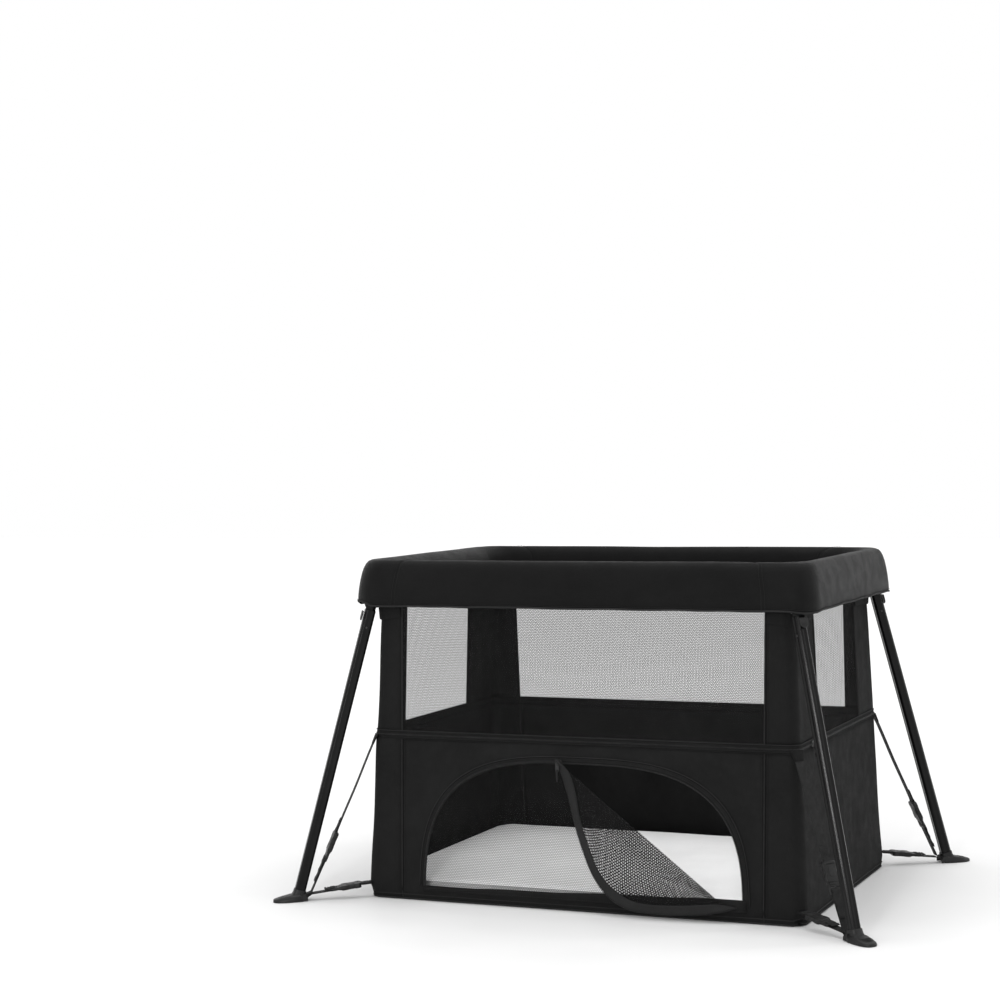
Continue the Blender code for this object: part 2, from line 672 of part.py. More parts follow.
def door_flap():
    """The unzipped part, turned out and down about the fold line."""
    way = Vector((SILL_AT[0] - SLIDER_AT[0], SILL_AT[1] - SLIDER_AT[1]))
    fold_length = way.length
    way.normalize()
    beyond = Vector((-way.y, way.x))          # from the fold line into the open part of the arch
    start = Vector(SLIDER_AT)
    arch = arch_points(turn_at_slider(ZIP_GAP), turn_at_sill(ZIP_GAP), ZIP_GAP, 60)
    offsets = [Vector(point) - start for point in arch[::3]]
    offsets = [offset for offset in offsets if offset.dot(beyond) > 3 * FOLD_GAP]
    ends = [way * s + beyond * FOLD_GAP for s in (FOLD_END, fold_length - FOLD_END)]
    outline = [ends[0], *offsets, ends[1]]
    turned = [start + way * (2 * offset.dot(way)) - offset for offset in outline]
    folded = [(point.x, max(point.y, FLAP_LOW)) for point in turned]
    mesh = slab("door_flap", folded, FLAP_OUT - DOOR_NET / 2, FLAP_OUT + DOOR_NET / 2)
    return place("door_flap", mesh, "door", NETTING)


# half sizes of the zip parts: along the zip or the wall, up, and out from the wall
SLIDER_HALVES, SLIDER_OUT = (0.0055, 0.0040, 0.0022), 0.0028
PULL_HALVES, PULL_OUT, PULL_DOWN = (0.0035, 0.0160, 0.0008), 0.0088, 0.0205
EYE_DOWN = 0.0045                 # the pull swings about an eye this far below the slider's middle
LEVEL_SLIDER_HALVES, LEVEL_SLIDER_OUT = (0.0022, 0.0060, 0.0040), 0.0026
LEVEL_PULL_HALVES, LEVEL_PULL_OUT = (0.0008, 0.0035, 0.0130), 0.0040


def door_zip():
    """Slider at the end of the closed zip, and its pull on a small eye."""
    x, z = SLIDER_AT
    along = Vector((1, 0, 0))
    up = DOOR_OUT.cross(along)
    axes = (along, up, DOOR_OUT)
    slider = block("door_zip_slider", on_front(x, z, SLIDER_OUT), axes, SLIDER_HALVES)
    place("door_zip_slider", slider, "root", ZIP)
    pull = block("door_zip_pull", on_front(x, z - PULL_DOWN, PULL_OUT), axes, PULL_HALVES)
    place("door_zip_pull", pull, "door_pull", ZIP)


def level_zip_slider():
    """Slider and pull of the level zip, on the straight run along the right-hand end."""
    z = (BAND_Z0 + BAND_Z1) / 2
    x = wall_half(z)[0]
    body_at = Vector((x + LEVEL_SLIDER_OUT, LEVEL_SLIDER_Y, z))
    mesh = block("slider", body_at, XYZ, LEVEL_SLIDER_HALVES)
    slider = place("level_zip_slider", mesh, "level_slider", ZIP)
    pull_at = Vector((x + LEVEL_PULL_OUT, LEVEL_SLIDER_Y, z - LEVEL_PULL_HALVES[2]))
    boolean(slider, block("pull", pull_at, XYZ, LEVEL_PULL_HALVES), "UNION")


# ---- floor and pad ---------------------------------------------------------------------------
def plate(name, half_x, half_y, radius, z0, z1, on, finish, crown=0.0):
    """A flat rounded plate; a crown rounds its top edge."""
    rings = [(half_x, half_y, radius, z0)]
    if crown:
        rings += [(half_x, half_y, radius, z1 - crown)]
        rings += [(half_x - crown * 0.4, half_y - crown * 0.4, radius - crown * 0.4, z1 - crown * 0.35)]
        rings += [(half_x - crown, half_y - crown, radius - crown, z1)]
    else:
        rings += [(half_x, half_y, radius, z1)]
    sections = [[Vector((*p, z)) for p, _ in full_outline(hx, hy, r)] for hx, hy, r, z in rings]
    return place(name, skin(name, sections), on, finish)


# ---- assembly --------------------------------------------------------------------------------
def build():
    body("root")
    body("bed", (0, 0, TRAY_Z0))
    body("pad", (0, 0, TRAY_Z1))
    middle = (Vector(SLIDER_AT) + Vector(SILL_AT)) / 2
    body("door", on_front(middle.x, middle.y, HINGE_OUT))
    body("door_pull", on_front(SLIDER_AT[0], SLIDER_AT[1] - EYE_DOWN, PULL_OUT))
    body("level_slider", (wall_half(BAND_Z0)[0], LEVEL_SLIDER_Y, BAND_Z0))

    rim_cover()
    top_tubes()
    for side, sy in (("front", -1), ("back", 1)):
        wall(f"mesh_{side}", long_path(sy), BAND_Z1 + GAP, WALL_TOP_Z, NET, NETTING)
    for side, sx in (("left", -1), ("right", 1)):
        wall(f"mesh_{side}", short_path(sx), BAND_Z1 + GAP, WALL_TOP_Z, NET, NETTING)
        wall(f"skirt_{side}", end_path(sx), 0.0, BAND_Z0 - GAP, CLOTH, FABRIC)
    wall("skirt_back", long_path(1), 0.0, BAND_Z0 - GAP, CLOTH, FABRIC)
    skirt_front()

    def ring(z, inset):
        return [point for point, _ in full_outline(*wall_half(z, inset))]

    wall("level_zip", ring, BAND_Z0, BAND_Z1, CLOTH, ZIP, closed=True)

    for corner, (sx, sy) in CORNERS.items():
        leg = f"leg_{corner}"
        button = f"button_{corner}"
        body(leg, mirrored(HINGE, sx, sy))
        body(button, mirrored(HINGE, sx, sy))
        wall(f"corner_panel_{corner}", corner_path(sx, sy), BAND_Z1 + GAP, WALL_TOP_Z, CLOTH, FABRIC)
        corner_hub(f"corner_hub_{corner}", sx, sy)
        pivot_pin(f"pivot_pin_{corner}", sx, sy)
        strap_half(f"upper_strap_{corner}", sx, sy, UPPER_TAB_Z, UPPER_SHARE)
        strap_half(f"lower_strap_{corner}", sx, sy, LOWER_TAB_Z, LOWER_SHARE)
        leg_tube(f"leg_tube_{corner}", sx, sy, leg)
        foot(f"foot_{corner}", sx, sy, leg)
        foot_strap(f"foot_strap_{corner}", sx, sy, leg)
        release_button(f"release_button_{corner}", sx, sy, button)

    plate("floor_tray", TRAY_X, TRAY_Y, TRAY_R, TRAY_Z0, TRAY_Z1, "bed", FABRIC)
    board_half = (TRAY_X - BOARD_IN, TRAY_Y - BOARD_IN)
    plate("base_board", *board_half, BOARD_R, TRAY_Z1 + GAP, BOARD_Z1, "pad", BOARD)
    pad_half = (TRAY_X - PAD_IN, TRAY_Y - PAD_IN)
    plate("mattress", *pad_half, TRAY_R, BOARD_Z1 + GAP, PAD_Z1, "pad", PAD_CLOTH, crown=PAD_CROWN)
    door_mesh()
    door_flap()
    door_zip()
    level_zip_slider()


build()
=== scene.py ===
"""Looks of a travel playpen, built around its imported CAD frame.

Metres, +Z up, +X along the long side, the front faces -Y, the origin is on the floor at the centre.
The frame gives the wall sizes, hinges and feet; cloth, padding, net, webbing and mouldings are made here.
"""
import json
import math

import bmesh
import bpy
from mathutils import Matrix, Vector, kdtree, noise

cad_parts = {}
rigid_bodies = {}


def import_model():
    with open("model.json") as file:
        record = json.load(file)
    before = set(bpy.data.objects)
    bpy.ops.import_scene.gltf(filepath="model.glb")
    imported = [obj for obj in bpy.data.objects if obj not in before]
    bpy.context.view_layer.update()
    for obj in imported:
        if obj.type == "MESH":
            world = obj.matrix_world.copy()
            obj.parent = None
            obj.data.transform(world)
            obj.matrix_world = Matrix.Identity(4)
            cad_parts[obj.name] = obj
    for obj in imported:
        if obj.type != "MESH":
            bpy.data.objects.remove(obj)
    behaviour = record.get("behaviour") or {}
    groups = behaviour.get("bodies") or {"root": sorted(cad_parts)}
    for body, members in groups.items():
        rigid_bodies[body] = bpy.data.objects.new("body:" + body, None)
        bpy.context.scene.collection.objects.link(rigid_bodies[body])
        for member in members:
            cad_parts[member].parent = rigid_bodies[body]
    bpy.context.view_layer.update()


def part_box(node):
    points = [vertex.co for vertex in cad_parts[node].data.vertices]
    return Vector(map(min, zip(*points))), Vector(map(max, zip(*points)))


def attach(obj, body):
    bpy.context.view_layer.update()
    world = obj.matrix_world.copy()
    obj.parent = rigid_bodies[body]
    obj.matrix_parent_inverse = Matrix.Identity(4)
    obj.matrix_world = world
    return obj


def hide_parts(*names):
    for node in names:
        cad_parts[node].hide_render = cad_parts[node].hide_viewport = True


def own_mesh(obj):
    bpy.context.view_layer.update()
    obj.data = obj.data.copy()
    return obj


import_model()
SCENE = bpy.context.scene

# ---- sizes read from the frame -----------------------------------------------------------------
HEM_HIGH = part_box("skirt_right")[1]                  # the walls at the floor
BAND_LOW, BAND_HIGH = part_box("level_zip")            # the band with the level zip
FLOOR_X, FLOOR_Y = HEM_HIGH.x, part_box("skirt_back")[1].y
BAND_Z0, BAND_Z1 = BAND_LOW.z, BAND_HIGH.z
LEAN_X = (FLOOR_X - BAND_HIGH.x) / BAND_Z0           # how fast the walls close in with height
LEAN_Y = (FLOOR_Y - BAND_HIGH.y) / BAND_Z0
WALL_R = 0.022
WALL_TOP_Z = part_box("mesh_front")[1].z
SEAM_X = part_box("mesh_front")[1].x
SEAM_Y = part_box("mesh_right")[1].y
CORNERS = {"front_left": (-1, -1), "front_right": (1, -1), "back_left": (-1, 1), "back_right": (1, 1)}
UP = Vector((0, 0, 1))

# leg hinge and foot of the +X +Y corner
HINGE = Vector((0.425, 0.270, 0.572))
FOOT = Vector((0.556, 0.363, 0.0))
LEG_W, LEG_CHAMFER = 0.0205, 0.0040

# the crawl door: an arch in the front wall, closed by a zip from the left up to the slider
DOOR_X, DOOR_HALF, DOOR_H, DOOR_POWER = 0.006, 0.322, 0.279, 3.0
DOOR_SILL = 0.030
SLIDER_X = -0.037


# ---- materials -----------------------------------------------------------------------------------
class Nodes:
    """A material's node tree, with short calls to add and join nodes."""

    def __init__(self, name):
        self.material = bpy.data.materials.new(name)
        self.material.use_nodes = True
        self.tree = self.material.node_tree
        self.shader = self.tree.nodes["Principled BSDF"]

    def add(self, kind, inputs=None, **settings):
        node = self.tree.nodes.new(kind)
        for key, value in settings.items():
            setattr(node, key, value)
        for key, value in (inputs or {}).items():
            if isinstance(value, bpy.types.NodeSocket):
                self.tree.links.new(value, node.inputs[key])
            else:
                node.inputs[key].default_value = value
        return node

    def math(self, operation, a, b=0.0, c=0.0):
        return self.add("ShaderNodeMath", {0: a, 1: b, 2: c}, operation=operation).outputs[0]

    def vector(self, operation, a, b=(0, 0, 0)):
        node = self.add("ShaderNodeVectorMath", {0: a}, operation=operation)
        if operation == "SCALE":
            node.inputs["Scale"].default_value = b
        elif isinstance(b, bpy.types.NodeSocket):
            self.tree.links.new(b, node.inputs[1])
        else:
            node.inputs[1].default_value = b
        return node.outputs["Value" if operation == "LENGTH" else "Vector"]

    def place(self, kind):
        """Coordinates in metres: along and across a made sheet (UV), or in the object's own space."""
        return self.add("ShaderNodeTexCoord").outputs[kind]

    def cloud(self, at, scale, detail=3.0, roughness=0.55):
        inputs = {"Vector": at, "Scale": scale, "Detail": detail, "Roughness": roughness}
        return self.add("ShaderNodeTexNoise", inputs).outputs["Fac"]

    def ramp(self, fac, low, high, a=0.35, b=0.65):
        node = self.add("ShaderNodeMapRange", {0: fac, 1: a, 2: b, 3: low, 4: high})
        return node.outputs[0]

    def tint(self, fac, dark, light):
        node = self.add("ShaderNodeMix", {"Factor": fac}, data_type="RGBA")
        node.inputs[6].default_value = (*dark, 1)
        node.inputs[7].default_value = (*light, 1)
        return node.outputs[2]

    def colour(self, socket):
        self.tree.links.new(socket, self.shader.inputs["Base Color"])

    def rough(self, socket):
        self.tree.links.new(socket, self.shader.inputs["Roughness"])

    def bump(self, height, distance, strength=1.0):
        node = self.add("ShaderNodeBump", {"Height": height, "Distance": distance, "Strength": strength})
        self.tree.links.new(node.outputs[0], self.shader.inputs["Normal"])

    def set(self, **values):
        for key, value in values.items():
            self.shader.inputs[key.replace("_", " ")].default_value = value


def grey(value):
    """A neutral colour."""
    return (value, value, value)


def weave_height(n, at, pitch):
    """Plain weave: warp and weft waves that pass over each other in turn."""
    split = n.add("ShaderNodeSeparateXYZ", {0: n.vector("SCALE", at, math.pi / pitch)})
    across, along = split.outputs[0], split.outputs[1]
    over = n.math("SIGN", n.math("MULTIPLY", n.math("SINE", across), n.math("SINE", along)))
    warp = n.math("ABSOLUTE", n.math("SINE", across))
    weft = n.math("ABSOLUTE", n.math("SINE", along))
    share = n.math("MULTIPLY_ADD", over, 0.5, 0.5)
    blended = n.math("MULTIPLY", warp, share)
    other = n.math("MULTIPLY", weft, n.math("SUBTRACT", 1.0, share))
    return n.math("ADD", blended, other)


def woven(name, dark, light, pitch, depth, roughness, sheen, coords, spec):
    """Woven polyester: weave, slubs in the yarn, slight dust and rubbing on the colour."""
    n = Nodes(name)
    at = n.place(coords)
    cloud = n.cloud(at, 9.0, 4.0)
    slub = n.cloud(n.vector("MULTIPLY", at, (900.0, 60.0, 300.0)), 1.0, 2.0)
    mixed = n.math("MULTIPLY_ADD", slub, 0.35, n.math("MULTIPLY", cloud, 0.65))
    n.colour(n.tint(n.ramp(mixed, 0.0, 1.0), dark, light))
    n.rough(n.ramp(n.cloud(at, 35.0), roughness - 0.06, roughness + 0.06))
    height = n.math("MULTIPLY_ADD", slub, 0.3, weave_height(n, at, pitch))
    n.bump(height, depth)
    n.set(Sheen_Weight=sheen, Sheen_Roughness=0.45, Specular_IOR_Level=spec)
    return n.material


def net(name, pitch, hole, open_alpha, yarn_alpha):
    """Warp-knit net: round holes in a staggered grid, with hairy black yarn between them."""
    n = Nodes(name)
    at = n.place("UV")
    cell = (1 / pitch, 1 / (pitch * math.sqrt(3)), 0.0)
    grid = n.vector("MULTIPLY", at, cell)
    gaps = []
    for shift in (0.0, 0.5):
        moved = n.vector("ADD", grid, (shift, shift, 0.0))
        centred = n.vector("SUBTRACT", n.vector("FRACTION", moved), (0.5, 0.5, 0.0))
        gaps.append(n.vector("LENGTH", n.vector("MULTIPLY", centred, (1.0, math.sqrt(3), 0.0))))
    nearest = n.math("MINIMUM", gaps[0], gaps[1])
    alpha = n.ramp(nearest, open_alpha, yarn_alpha, hole - 0.10, hole + 0.10)
    n.tree.links.new(alpha, n.shader.inputs["Alpha"])
    yarn = n.cloud(at, 700.0, 2.0)
    n.colour(n.tint(yarn, grey(0.004), grey(0.010)))
    n.rough(n.ramp(yarn, 0.65, 0.8))
    n.bump(nearest, 0.0006)
    n.set(Specular_IOR_Level=0.08)
    return n.material


def ribbed(name, dark, light, pitch, across_pitch, depth):
    """Webbing: ribs across the band, with finer yarns along it, and painted shade in the grooves between the
    ribs.
    """
    n = Nodes(name)
    at = n.place("UV")
    split = n.add("ShaderNodeSeparateXYZ", {0: at})
    rib = n.math("ABSOLUTE", n.math("SINE", n.math("MULTIPLY", split.outputs[0], math.pi / pitch)))
    yarn = n.math("ABSOLUTE", n.math("SINE", n.math("MULTIPLY", split.outputs[1], math.pi / across_pitch)))
    height = n.math("MULTIPLY_ADD", yarn, 0.5, rib)
    # colour: a random tone, plus painted shade that darkens the grooves between the ribs
    tone_and_groove_shade = n.math("MULTIPLY_ADD", n.cloud(at, 120.0), 0.7, n.math("MULTIPLY", rib, 0.3))
    n.colour(n.tint(n.ramp(tone_and_groove_shade, 0.0, 1.0, 0.3, 0.8), dark, light))
    n.rough(n.ramp(n.cloud(at, 80.0), 0.6, 0.78))
    n.bump(height, depth)
    n.set(Specular_IOR_Level=0.2)
    return n.material


def moulded_plastic(name, dark, light, roughness):
    """Black plastic with a fine spark-eroded grain and faint rubbing."""
    n = Nodes(name)
    at = n.place("Object")
    n.colour(n.tint(n.ramp(n.cloud(at, 60.0), 0.0, 1.0), dark, light))
    grain = n.cloud(at, 1800.0, 2.0)
    scuff = n.cloud(n.vector("MULTIPLY", at, (400.0, 60.0, 60.0)), 1.0, 5.0)
    n.rough(n.ramp(scuff, roughness - 0.05, roughness + 0.12, 0.4, 0.7))
    n.bump(grain, 0.00006)
    n.set(Specular_IOR_Level=0.22)
    return n.material


def powder_coat(name, dark, light, roughness, spec, coat=0.0):
    """Satin powder coat with a faint orange peel."""
    n = Nodes(name)
    at = n.place("Object")
    n.colour(n.tint(n.ramp(n.cloud(at, 30.0, 5.0), 0.0, 1.0), dark, light))
    n.rough(n.ramp(n.cloud(at, 25.0), roughness - 0.02, roughness + 0.04))
    n.bump(n.cloud(at, 90.0), 0.00001)
    n.set(Specular_IOR_Level=spec, Coat_Weight=coat, Coat_Roughness=0.2)
    return n.material


def metal(name, dark, light, roughness):
    """Brushed metal."""
    n = Nodes(name)
    at = n.place("Object")
    brushed = n.cloud(n.vector("MULTIPLY", at, (60.0, 2200.0, 900.0)), 1.0, 3.0)
    n.colour(n.tint(brushed, dark, light))
    n.rough(n.ramp(n.cloud(at, 300.0), roughness - 0.07, roughness + 0.1))
    n.bump(brushed, 0.00002)
    n.set(Metallic=1.0)
    return n.material


def knit(name, dark, light):
    """Light grey jersey of the pad: fine wales with a heathered yarn."""
    n = Nodes(name)
    at = n.place("Object")
    split = n.add("ShaderNodeSeparateXYZ", {0: at})
    wale = n.math("SINE", n.math("MULTIPLY", split.outputs[0], 2 * math.pi / 0.0014))
    course = n.math("SINE", n.math("MULTIPLY", n.math("ADD", split.outputs[1], split.outputs[2]),
                                   2 * math.pi / 0.0011))
    height = n.math("MULTIPLY", wale, course)
    heather = n.cloud(n.vector("MULTIPLY", at, (1100.0, 350.0, 350.0)), 1.0, 3.0)
    soft = n.cloud(at, 14.0, 4.0)
    n.colour(n.tint(n.ramp(n.math("MULTIPLY_ADD", heather, 0.6, n.math("MULTIPLY", soft, 0.4)), 0.0, 1.0),
                    dark, light))
    n.rough(n.ramp(soft, 0.82, 0.95))
    n.bump(height, 0.00005)
    n.set(Sheen_Weight=0.3, Specular_IOR_Level=0.2)
    return n.material


def hardboard(name):
    """Brown fibreboard."""
    n = Nodes(name)
    at = n.place("Object")
    fibre = n.cloud(n.vector("MULTIPLY", at, (90.0, 260.0, 260.0)), 1.0, 6.0)
    n.colour(n.tint(fibre, (0.10, 0.065, 0.04), (0.22, 0.15, 0.09)))
    n.rough(n.ramp(fibre, 0.55, 0.75))
    n.bump(fibre, 0.0002)
    return n.material


FABRIC = woven("wall_fabric", grey(0.0050), grey(0.0095), 0.00055, 0.00012, 0.80, 0.0, "UV", 0.11)
RIM_CLOTH = woven("rim_fabric", grey(0.0026), grey(0.0046), 0.00045, 0.00009, 0.52, 0.05, "Object", 0.06)
BINDING = woven("binding_tape", grey(0.008), grey(0.014), 0.0009, 0.0002, 0.70, 0.0, "UV", 0.2)
NETTING = net("net", 0.0036, 0.425, 0.12, 0.90)
FLAP_NET = net("flap_net", 0.0050, 0.345, 0.05, 0.97)
WEBBING = ribbed("webbing", grey(0.006), grey(0.014), 0.0012, 0.0017, 0.00025)
ZIP_TAPE = ribbed("zip_tape", grey(0.005), grey(0.010), 0.0008, 0.0011, 0.00012)
PLASTIC = moulded_plastic("black_plastic", grey(0.005), grey(0.010), 0.42)
ZIP_TEETH = moulded_plastic("zip_teeth", grey(0.006), grey(0.012), 0.38)
TUBE_COAT = powder_coat("tube_coat", grey(0.0025), grey(0.0040), 0.22, 0.15)
PAINTED = powder_coat("painted_zinc", grey(0.008), grey(0.016), 0.28, 0.26, 0.1)
STEEL = metal("rivet_steel", grey(0.30), grey(0.55), 0.35)
PAD_KNIT = knit("pad_knit", grey(0.80), grey(0.90))
THREAD = ribbed("thread", grey(0.010), grey(0.022), 0.0004, 0.0004, 0.0001)
BOARD = hardboard("hardboard")


# ---- meshes --------------------------------------------------------------------------------------
def piece(name, mesh, finish, body, sharp=None):
    """Links a mesh in world coordinates, smooth shaded, riding on a body."""
    thing = bpy.data.objects.new(name, mesh)
    mesh.materials.clear()
    mesh.materials.append(finish)
    mesh.shade_smooth()
    if sharp:
        mesh.set_sharp_from_angle(angle=math.radians(sharp))
    SCENE.collection.objects.link(thing)
    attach(thing, body)
    return thing


def piping(name, line, radius, closed=False, body="root", finish=BINDING):
    return piece(name, cord_mesh(line, radius, closed), finish, body)


def sewing(name, rows, body="root"):
    """Rows of stitches as one piece."""
    return piece(name, joined(rows), THREAD, body)


def settle(thing):
    """Applies the modifiers, so that the mesh is final."""
    bpy.context.view_layer.update()
    graph = bpy.context.evaluated_depsgraph_get()
    mesh = bpy.data.meshes.new_from_object(thing.evaluated_get(graph), depsgraph=graph)
    thing.modifiers.clear()
    thing.data = mesh
    return thing


def thicken(thing, thickness, offset=-1.0):
    step = thing.modifiers.new("thickness", "SOLIDIFY")
    step.thickness, step.offset = thickness, offset
    return settle(thing)


def cloth(name, mesh, thickness, body="root", offset=-1.0):
    """A piece of the walls' fabric with its thickness."""
    return thicken(piece(name, mesh, FABRIC, body), thickness, offset)


def refine(thing):
    step = thing.modifiers.new("smooth", "SUBSURF")
    step.levels = step.render_levels = 1
    return settle(thing)


def lengths(points, closed=False):
    """Distance along a run of points."""
    total, out = 0.0, [0.0]
    for a, b in zip(points, points[1:] + ([points[0]] if closed else [])):
        total += (b - a).length
        out.append(total)
    return out


def grid_mesh(rows, wrap_row=False, wrap_col=False, caps=False, flat_uv=None):
    """Quads over rows of points, with a UV map in metres along and across the rows."""
    n, m = len(rows), len(rows[0])
    verts = [tuple(p) for row in rows for p in row]
    u = lengths(rows[n // 2], wrap_row)
    v = lengths([row[m // 2] for row in rows], wrap_col)
    faces, uvs = [], []
    for i in range(n if wrap_col else n - 1):
        for j in range(m if wrap_row else m - 1):
            above, right = (i + 1) % n, (j + 1) % m
            quad = (i * m + j, i * m + right, above * m + right, above * m + j)
            faces.append(quad)
            if flat_uv:
                uvs += [flat_uv(rows[q // m][q % m]) for q in quad]
            else:
                uvs += [(u[j], v[i]), (u[j + 1], v[i]), (u[j + 1], v[i + 1]), (u[j], v[i + 1])]
    if caps:
        faces += [tuple(range(m))[::-1], tuple(range((n - 1) * m, n * m))]
        for row in (rows[0][::-1], rows[-1]):
            uvs += [((p - row[0]).length, 0.0) for p in row]
    mesh = bpy.data.meshes.new("mesh")
    mesh.from_pydata(verts, [], faces)
    layer = mesh.uv_layers.new(name="cloth")
    layer.data.foreach_set("uv", [c for uv in uvs for c in uv])
    return mesh


def outward(mesh):
    """Turns the faces outwards."""
    work = bmesh.new()
    work.from_mesh(mesh)
    bmesh.ops.recalc_face_normals(work, faces=work.faces)
    work.to_mesh(mesh)
    work.free()
    return mesh


def joined(meshes):
    """One mesh from several."""
    things = [bpy.data.objects.new("part", mesh) for mesh in meshes]
    for thing in things:
        SCENE.collection.objects.link(thing)
    with bpy.context.temp_override(active_object=things[0], selected_editable_objects=things,
                                   selected_objects=things):
        if len(things) > 1:
            bpy.ops.object.join()
    mesh = things[0].data
    bpy.data.objects.remove(things[0])
    return mesh


def frames_along(points, up, closed=False):
    """At each point of a run: the point, its way on, the sideways vector square to `up`, and the face's."""
    out = []
    for i, p in enumerate(points):
        if closed:
            before, after = points[i - 1], points[(i + 1) % len(points)]
        else:
            before, after = points[max(i - 1, 0)], points[min(i + 1, len(points) - 1)]
        way = (after - before).normalized()
        face = up[i] if isinstance(up, list) else up
        side = way.cross(face).normalized()
        out.append((p, way, side, side.cross(way).normalized()))
    return out


def cord_mesh(points, radius, closed=False, sides=8, up=UP):
    """A round cord, such as piping, along a run of points."""
    rows = []
    turns = [2 * math.pi * k / sides for k in range(sides)]
    for p, _, side, face in frames_along(points, up, closed):
        rows.append([p + side * (radius * math.cos(t)) + face * (radius * math.sin(t)) for t in turns])
    return grid_mesh(rows, wrap_row=True, wrap_col=closed, caps=not closed)


def ribbon_mesh(points, across, width, thickness):
    """A band with rounded edges along a run of points; across is one vector or one for each point."""
    across = across if isinstance(across, list) else [across] * len(points)
    h, t = width / 2, thickness / 2
    profile = [(-h, 0), (-h + t * 0.6, -t * 0.9), (-h + t * 2, -t), (h - t * 2, -t), (h - t * 0.6, -t * 0.9),
               (h, 0), (h - t * 0.6, t * 0.9), (h - t * 2, t), (-h + t * 2, t), (-h + t * 0.6, t * 0.9)]
    rows = []
    for i, p in enumerate(points):
        before, after = points[max(i - 1, 0)], points[min(i + 1, len(points) - 1)]
        normal = (after - before).normalized().cross(across[i]).normalized()
        rows.append([p + across[i] * a + normal * b for a, b in profile])
    mesh = grid_mesh(rows, wrap_row=True, caps=True)
    along = lengths(points)
    layer = mesh.uv_layers[0].data
    for loop in range(4 * (len(rows) - 1) * len(profile)):
        face, corner = divmod(loop, 4)
        i, j = divmod(face, len(profile))
        layer[loop].uv = (along[i + (corner in (2, 3))], profile[(j + (corner in (1, 2))) % len(profile)][0])
    return mesh


def bead_mesh(frames, halves, taper=0.8):
    """Small blunt blocks, such as zip teeth or stitches, one at each frame."""
    verts, faces = [], []
    ring = [(-1, -1), (1, -1), (1, 1), (-1, 1)]
    a, b, c = halves
    for p, way, side, face in frames:
        start = len(verts)
        for end, size in ((-1, taper), (-0.4, 1), (0.4, 1), (1, taper)):
            verts += [tuple(p + way * (a * end) + side * (b * x * size) + face * (c * y * size))
                      for x, y in ring]
        for level in range(3):
            for k in range(4):
                low, n = start + 4 * level, (k + 1) % 4
                faces.append((low + k, low + n, low + 4 + n, low + 4 + k))
        faces += [(start + 3, start + 2, start + 1, start), (start + 12, start + 13, start + 14, start + 15)]
    mesh = bpy.data.meshes.new("mesh")
    mesh.from_pydata(verts, [], faces)
    return mesh


def spaced(points, pitch, closed=False):
    """Points at an even pitch along a run."""
    along = lengths(points, closed)
    ring = points + ([points[0]] if closed else [])
    count = max(2, round(along[-1] / pitch))
    out, k = [], 0
    for i in range(count + (0 if closed else 1)):
        at = along[-1] * i / count
        while k < len(along) - 2 and along[k + 1] < at:
            k += 1
        span = along[k + 1] - along[k]
        out.append(ring[k].lerp(ring[k + 1], (at - along[k]) / span if span else 0.0))
    return out


def stitches(points, up, closed=False, pitch=0.0042, length=0.0029):
    """A row of lock stitches lying on a seam; up is one vector or one for each point."""
    places = spaced(points, pitch, closed)
    if isinstance(up, list):
        tree = kdtree.KDTree(len(points))
        for i, p in enumerate(points):
            tree.insert(p, i)
        tree.balance()
        up = [up[tree.find(p)[1]] for p in places]
    frames = frames_along(places, up, closed)
    return bead_mesh(frames, (length / 2, 0.00032, 0.00025), 0.4)


def moulding(outlines, thickness, bevel, place):
    """A moulded flat part: outlines in its own plane (the first is outside, the rest are holes)."""
    curve = bpy.data.curves.new("moulding", "CURVE")
    curve.dimensions, curve.fill_mode = "2D", "BOTH"
    curve.extrude, curve.bevel_depth, curve.bevel_resolution = thickness / 2 - bevel, bevel, 2
    for outline in outlines:
        spline = curve.splines.new("POLY")
        spline.points.add(len(outline) - 1)
        for point, (x, y) in zip(spline.points, outline):
            point.co = (x, y, 0, 1)
        spline.use_cyclic_u = True
    thing = bpy.data.objects.new("moulding", curve)
    SCENE.collection.objects.link(thing)
    bpy.context.view_layer.update()
    graph = bpy.context.evaluated_depsgraph_get()
    mesh = bpy.data.meshes.new_from_object(thing.evaluated_get(graph), depsgraph=graph)
    bpy.data.objects.remove(thing)
    mesh.transform(place)
    return mesh


def axes_matrix(origin, x, y, z):
    """The placement whose own axes are the three unit vectors."""
    return Matrix([(x[i], y[i], z[i], origin[i]) for i in range(3)] + [(0, 0, 0, 1)])


def rounded(half_x, half_y, radius, steps=4):
    """A rounded rectangle about the origin."""
    points = []
    for cx, cy, start in ((1, 1, 0), (-1, 1, 90), (-1, -1, 180), (1, -1, 270)):
        for k in range(steps + 1):
            a = math.radians(start + 90 * k / steps)
            points.append((cx * (half_x - radius) + radius * math.cos(a),
                           cy * (half_y - radius) + radius * math.sin(a)))
    return points


def moved(outline, dy):
    """An outline shifted along its own y."""
    return [(x, y + dy) for x, y in outline]


def mirrored(point, sx, sy):
    """A place of the +X +Y corner carried to another corner."""
    return Vector((point.x * sx, point.y * sy, point.z))


def level_way(p):
    """From the middle of the playpen towards a point, along the level."""
    return Vector((p.x, p.y, 0)).normalized()


# ---- runs round the walls --------------------------------------------------------------------------
def tuck_at(z):
    """How far the walls turn in where they meet the floor."""
    return 0.006 * max(0.0, 1 - z / 0.026) ** 2


def half_at(z, out=0.0):
    """Half length, half width and corner radius of the walls at a height, a distance outside their face."""
    out -= tuck_at(z)
    return FLOOR_X - LEAN_X * z + out, FLOOR_Y - LEAN_Y * z + out, WALL_R + out


def stretch(a, b, count):
    """count steps from a towards b, without b."""
    return [a + (b - a) * i / count for i in range(count)]


def bend(cx, cy, radius, count=10):
    """From the long wall round to the end wall, in the +X +Y quarter."""
    turns = [math.pi / 2 * i / count for i in range(count + 1)]
    return [(cx + radius * math.sin(t), cy + radius * math.cos(t)) for t in turns]


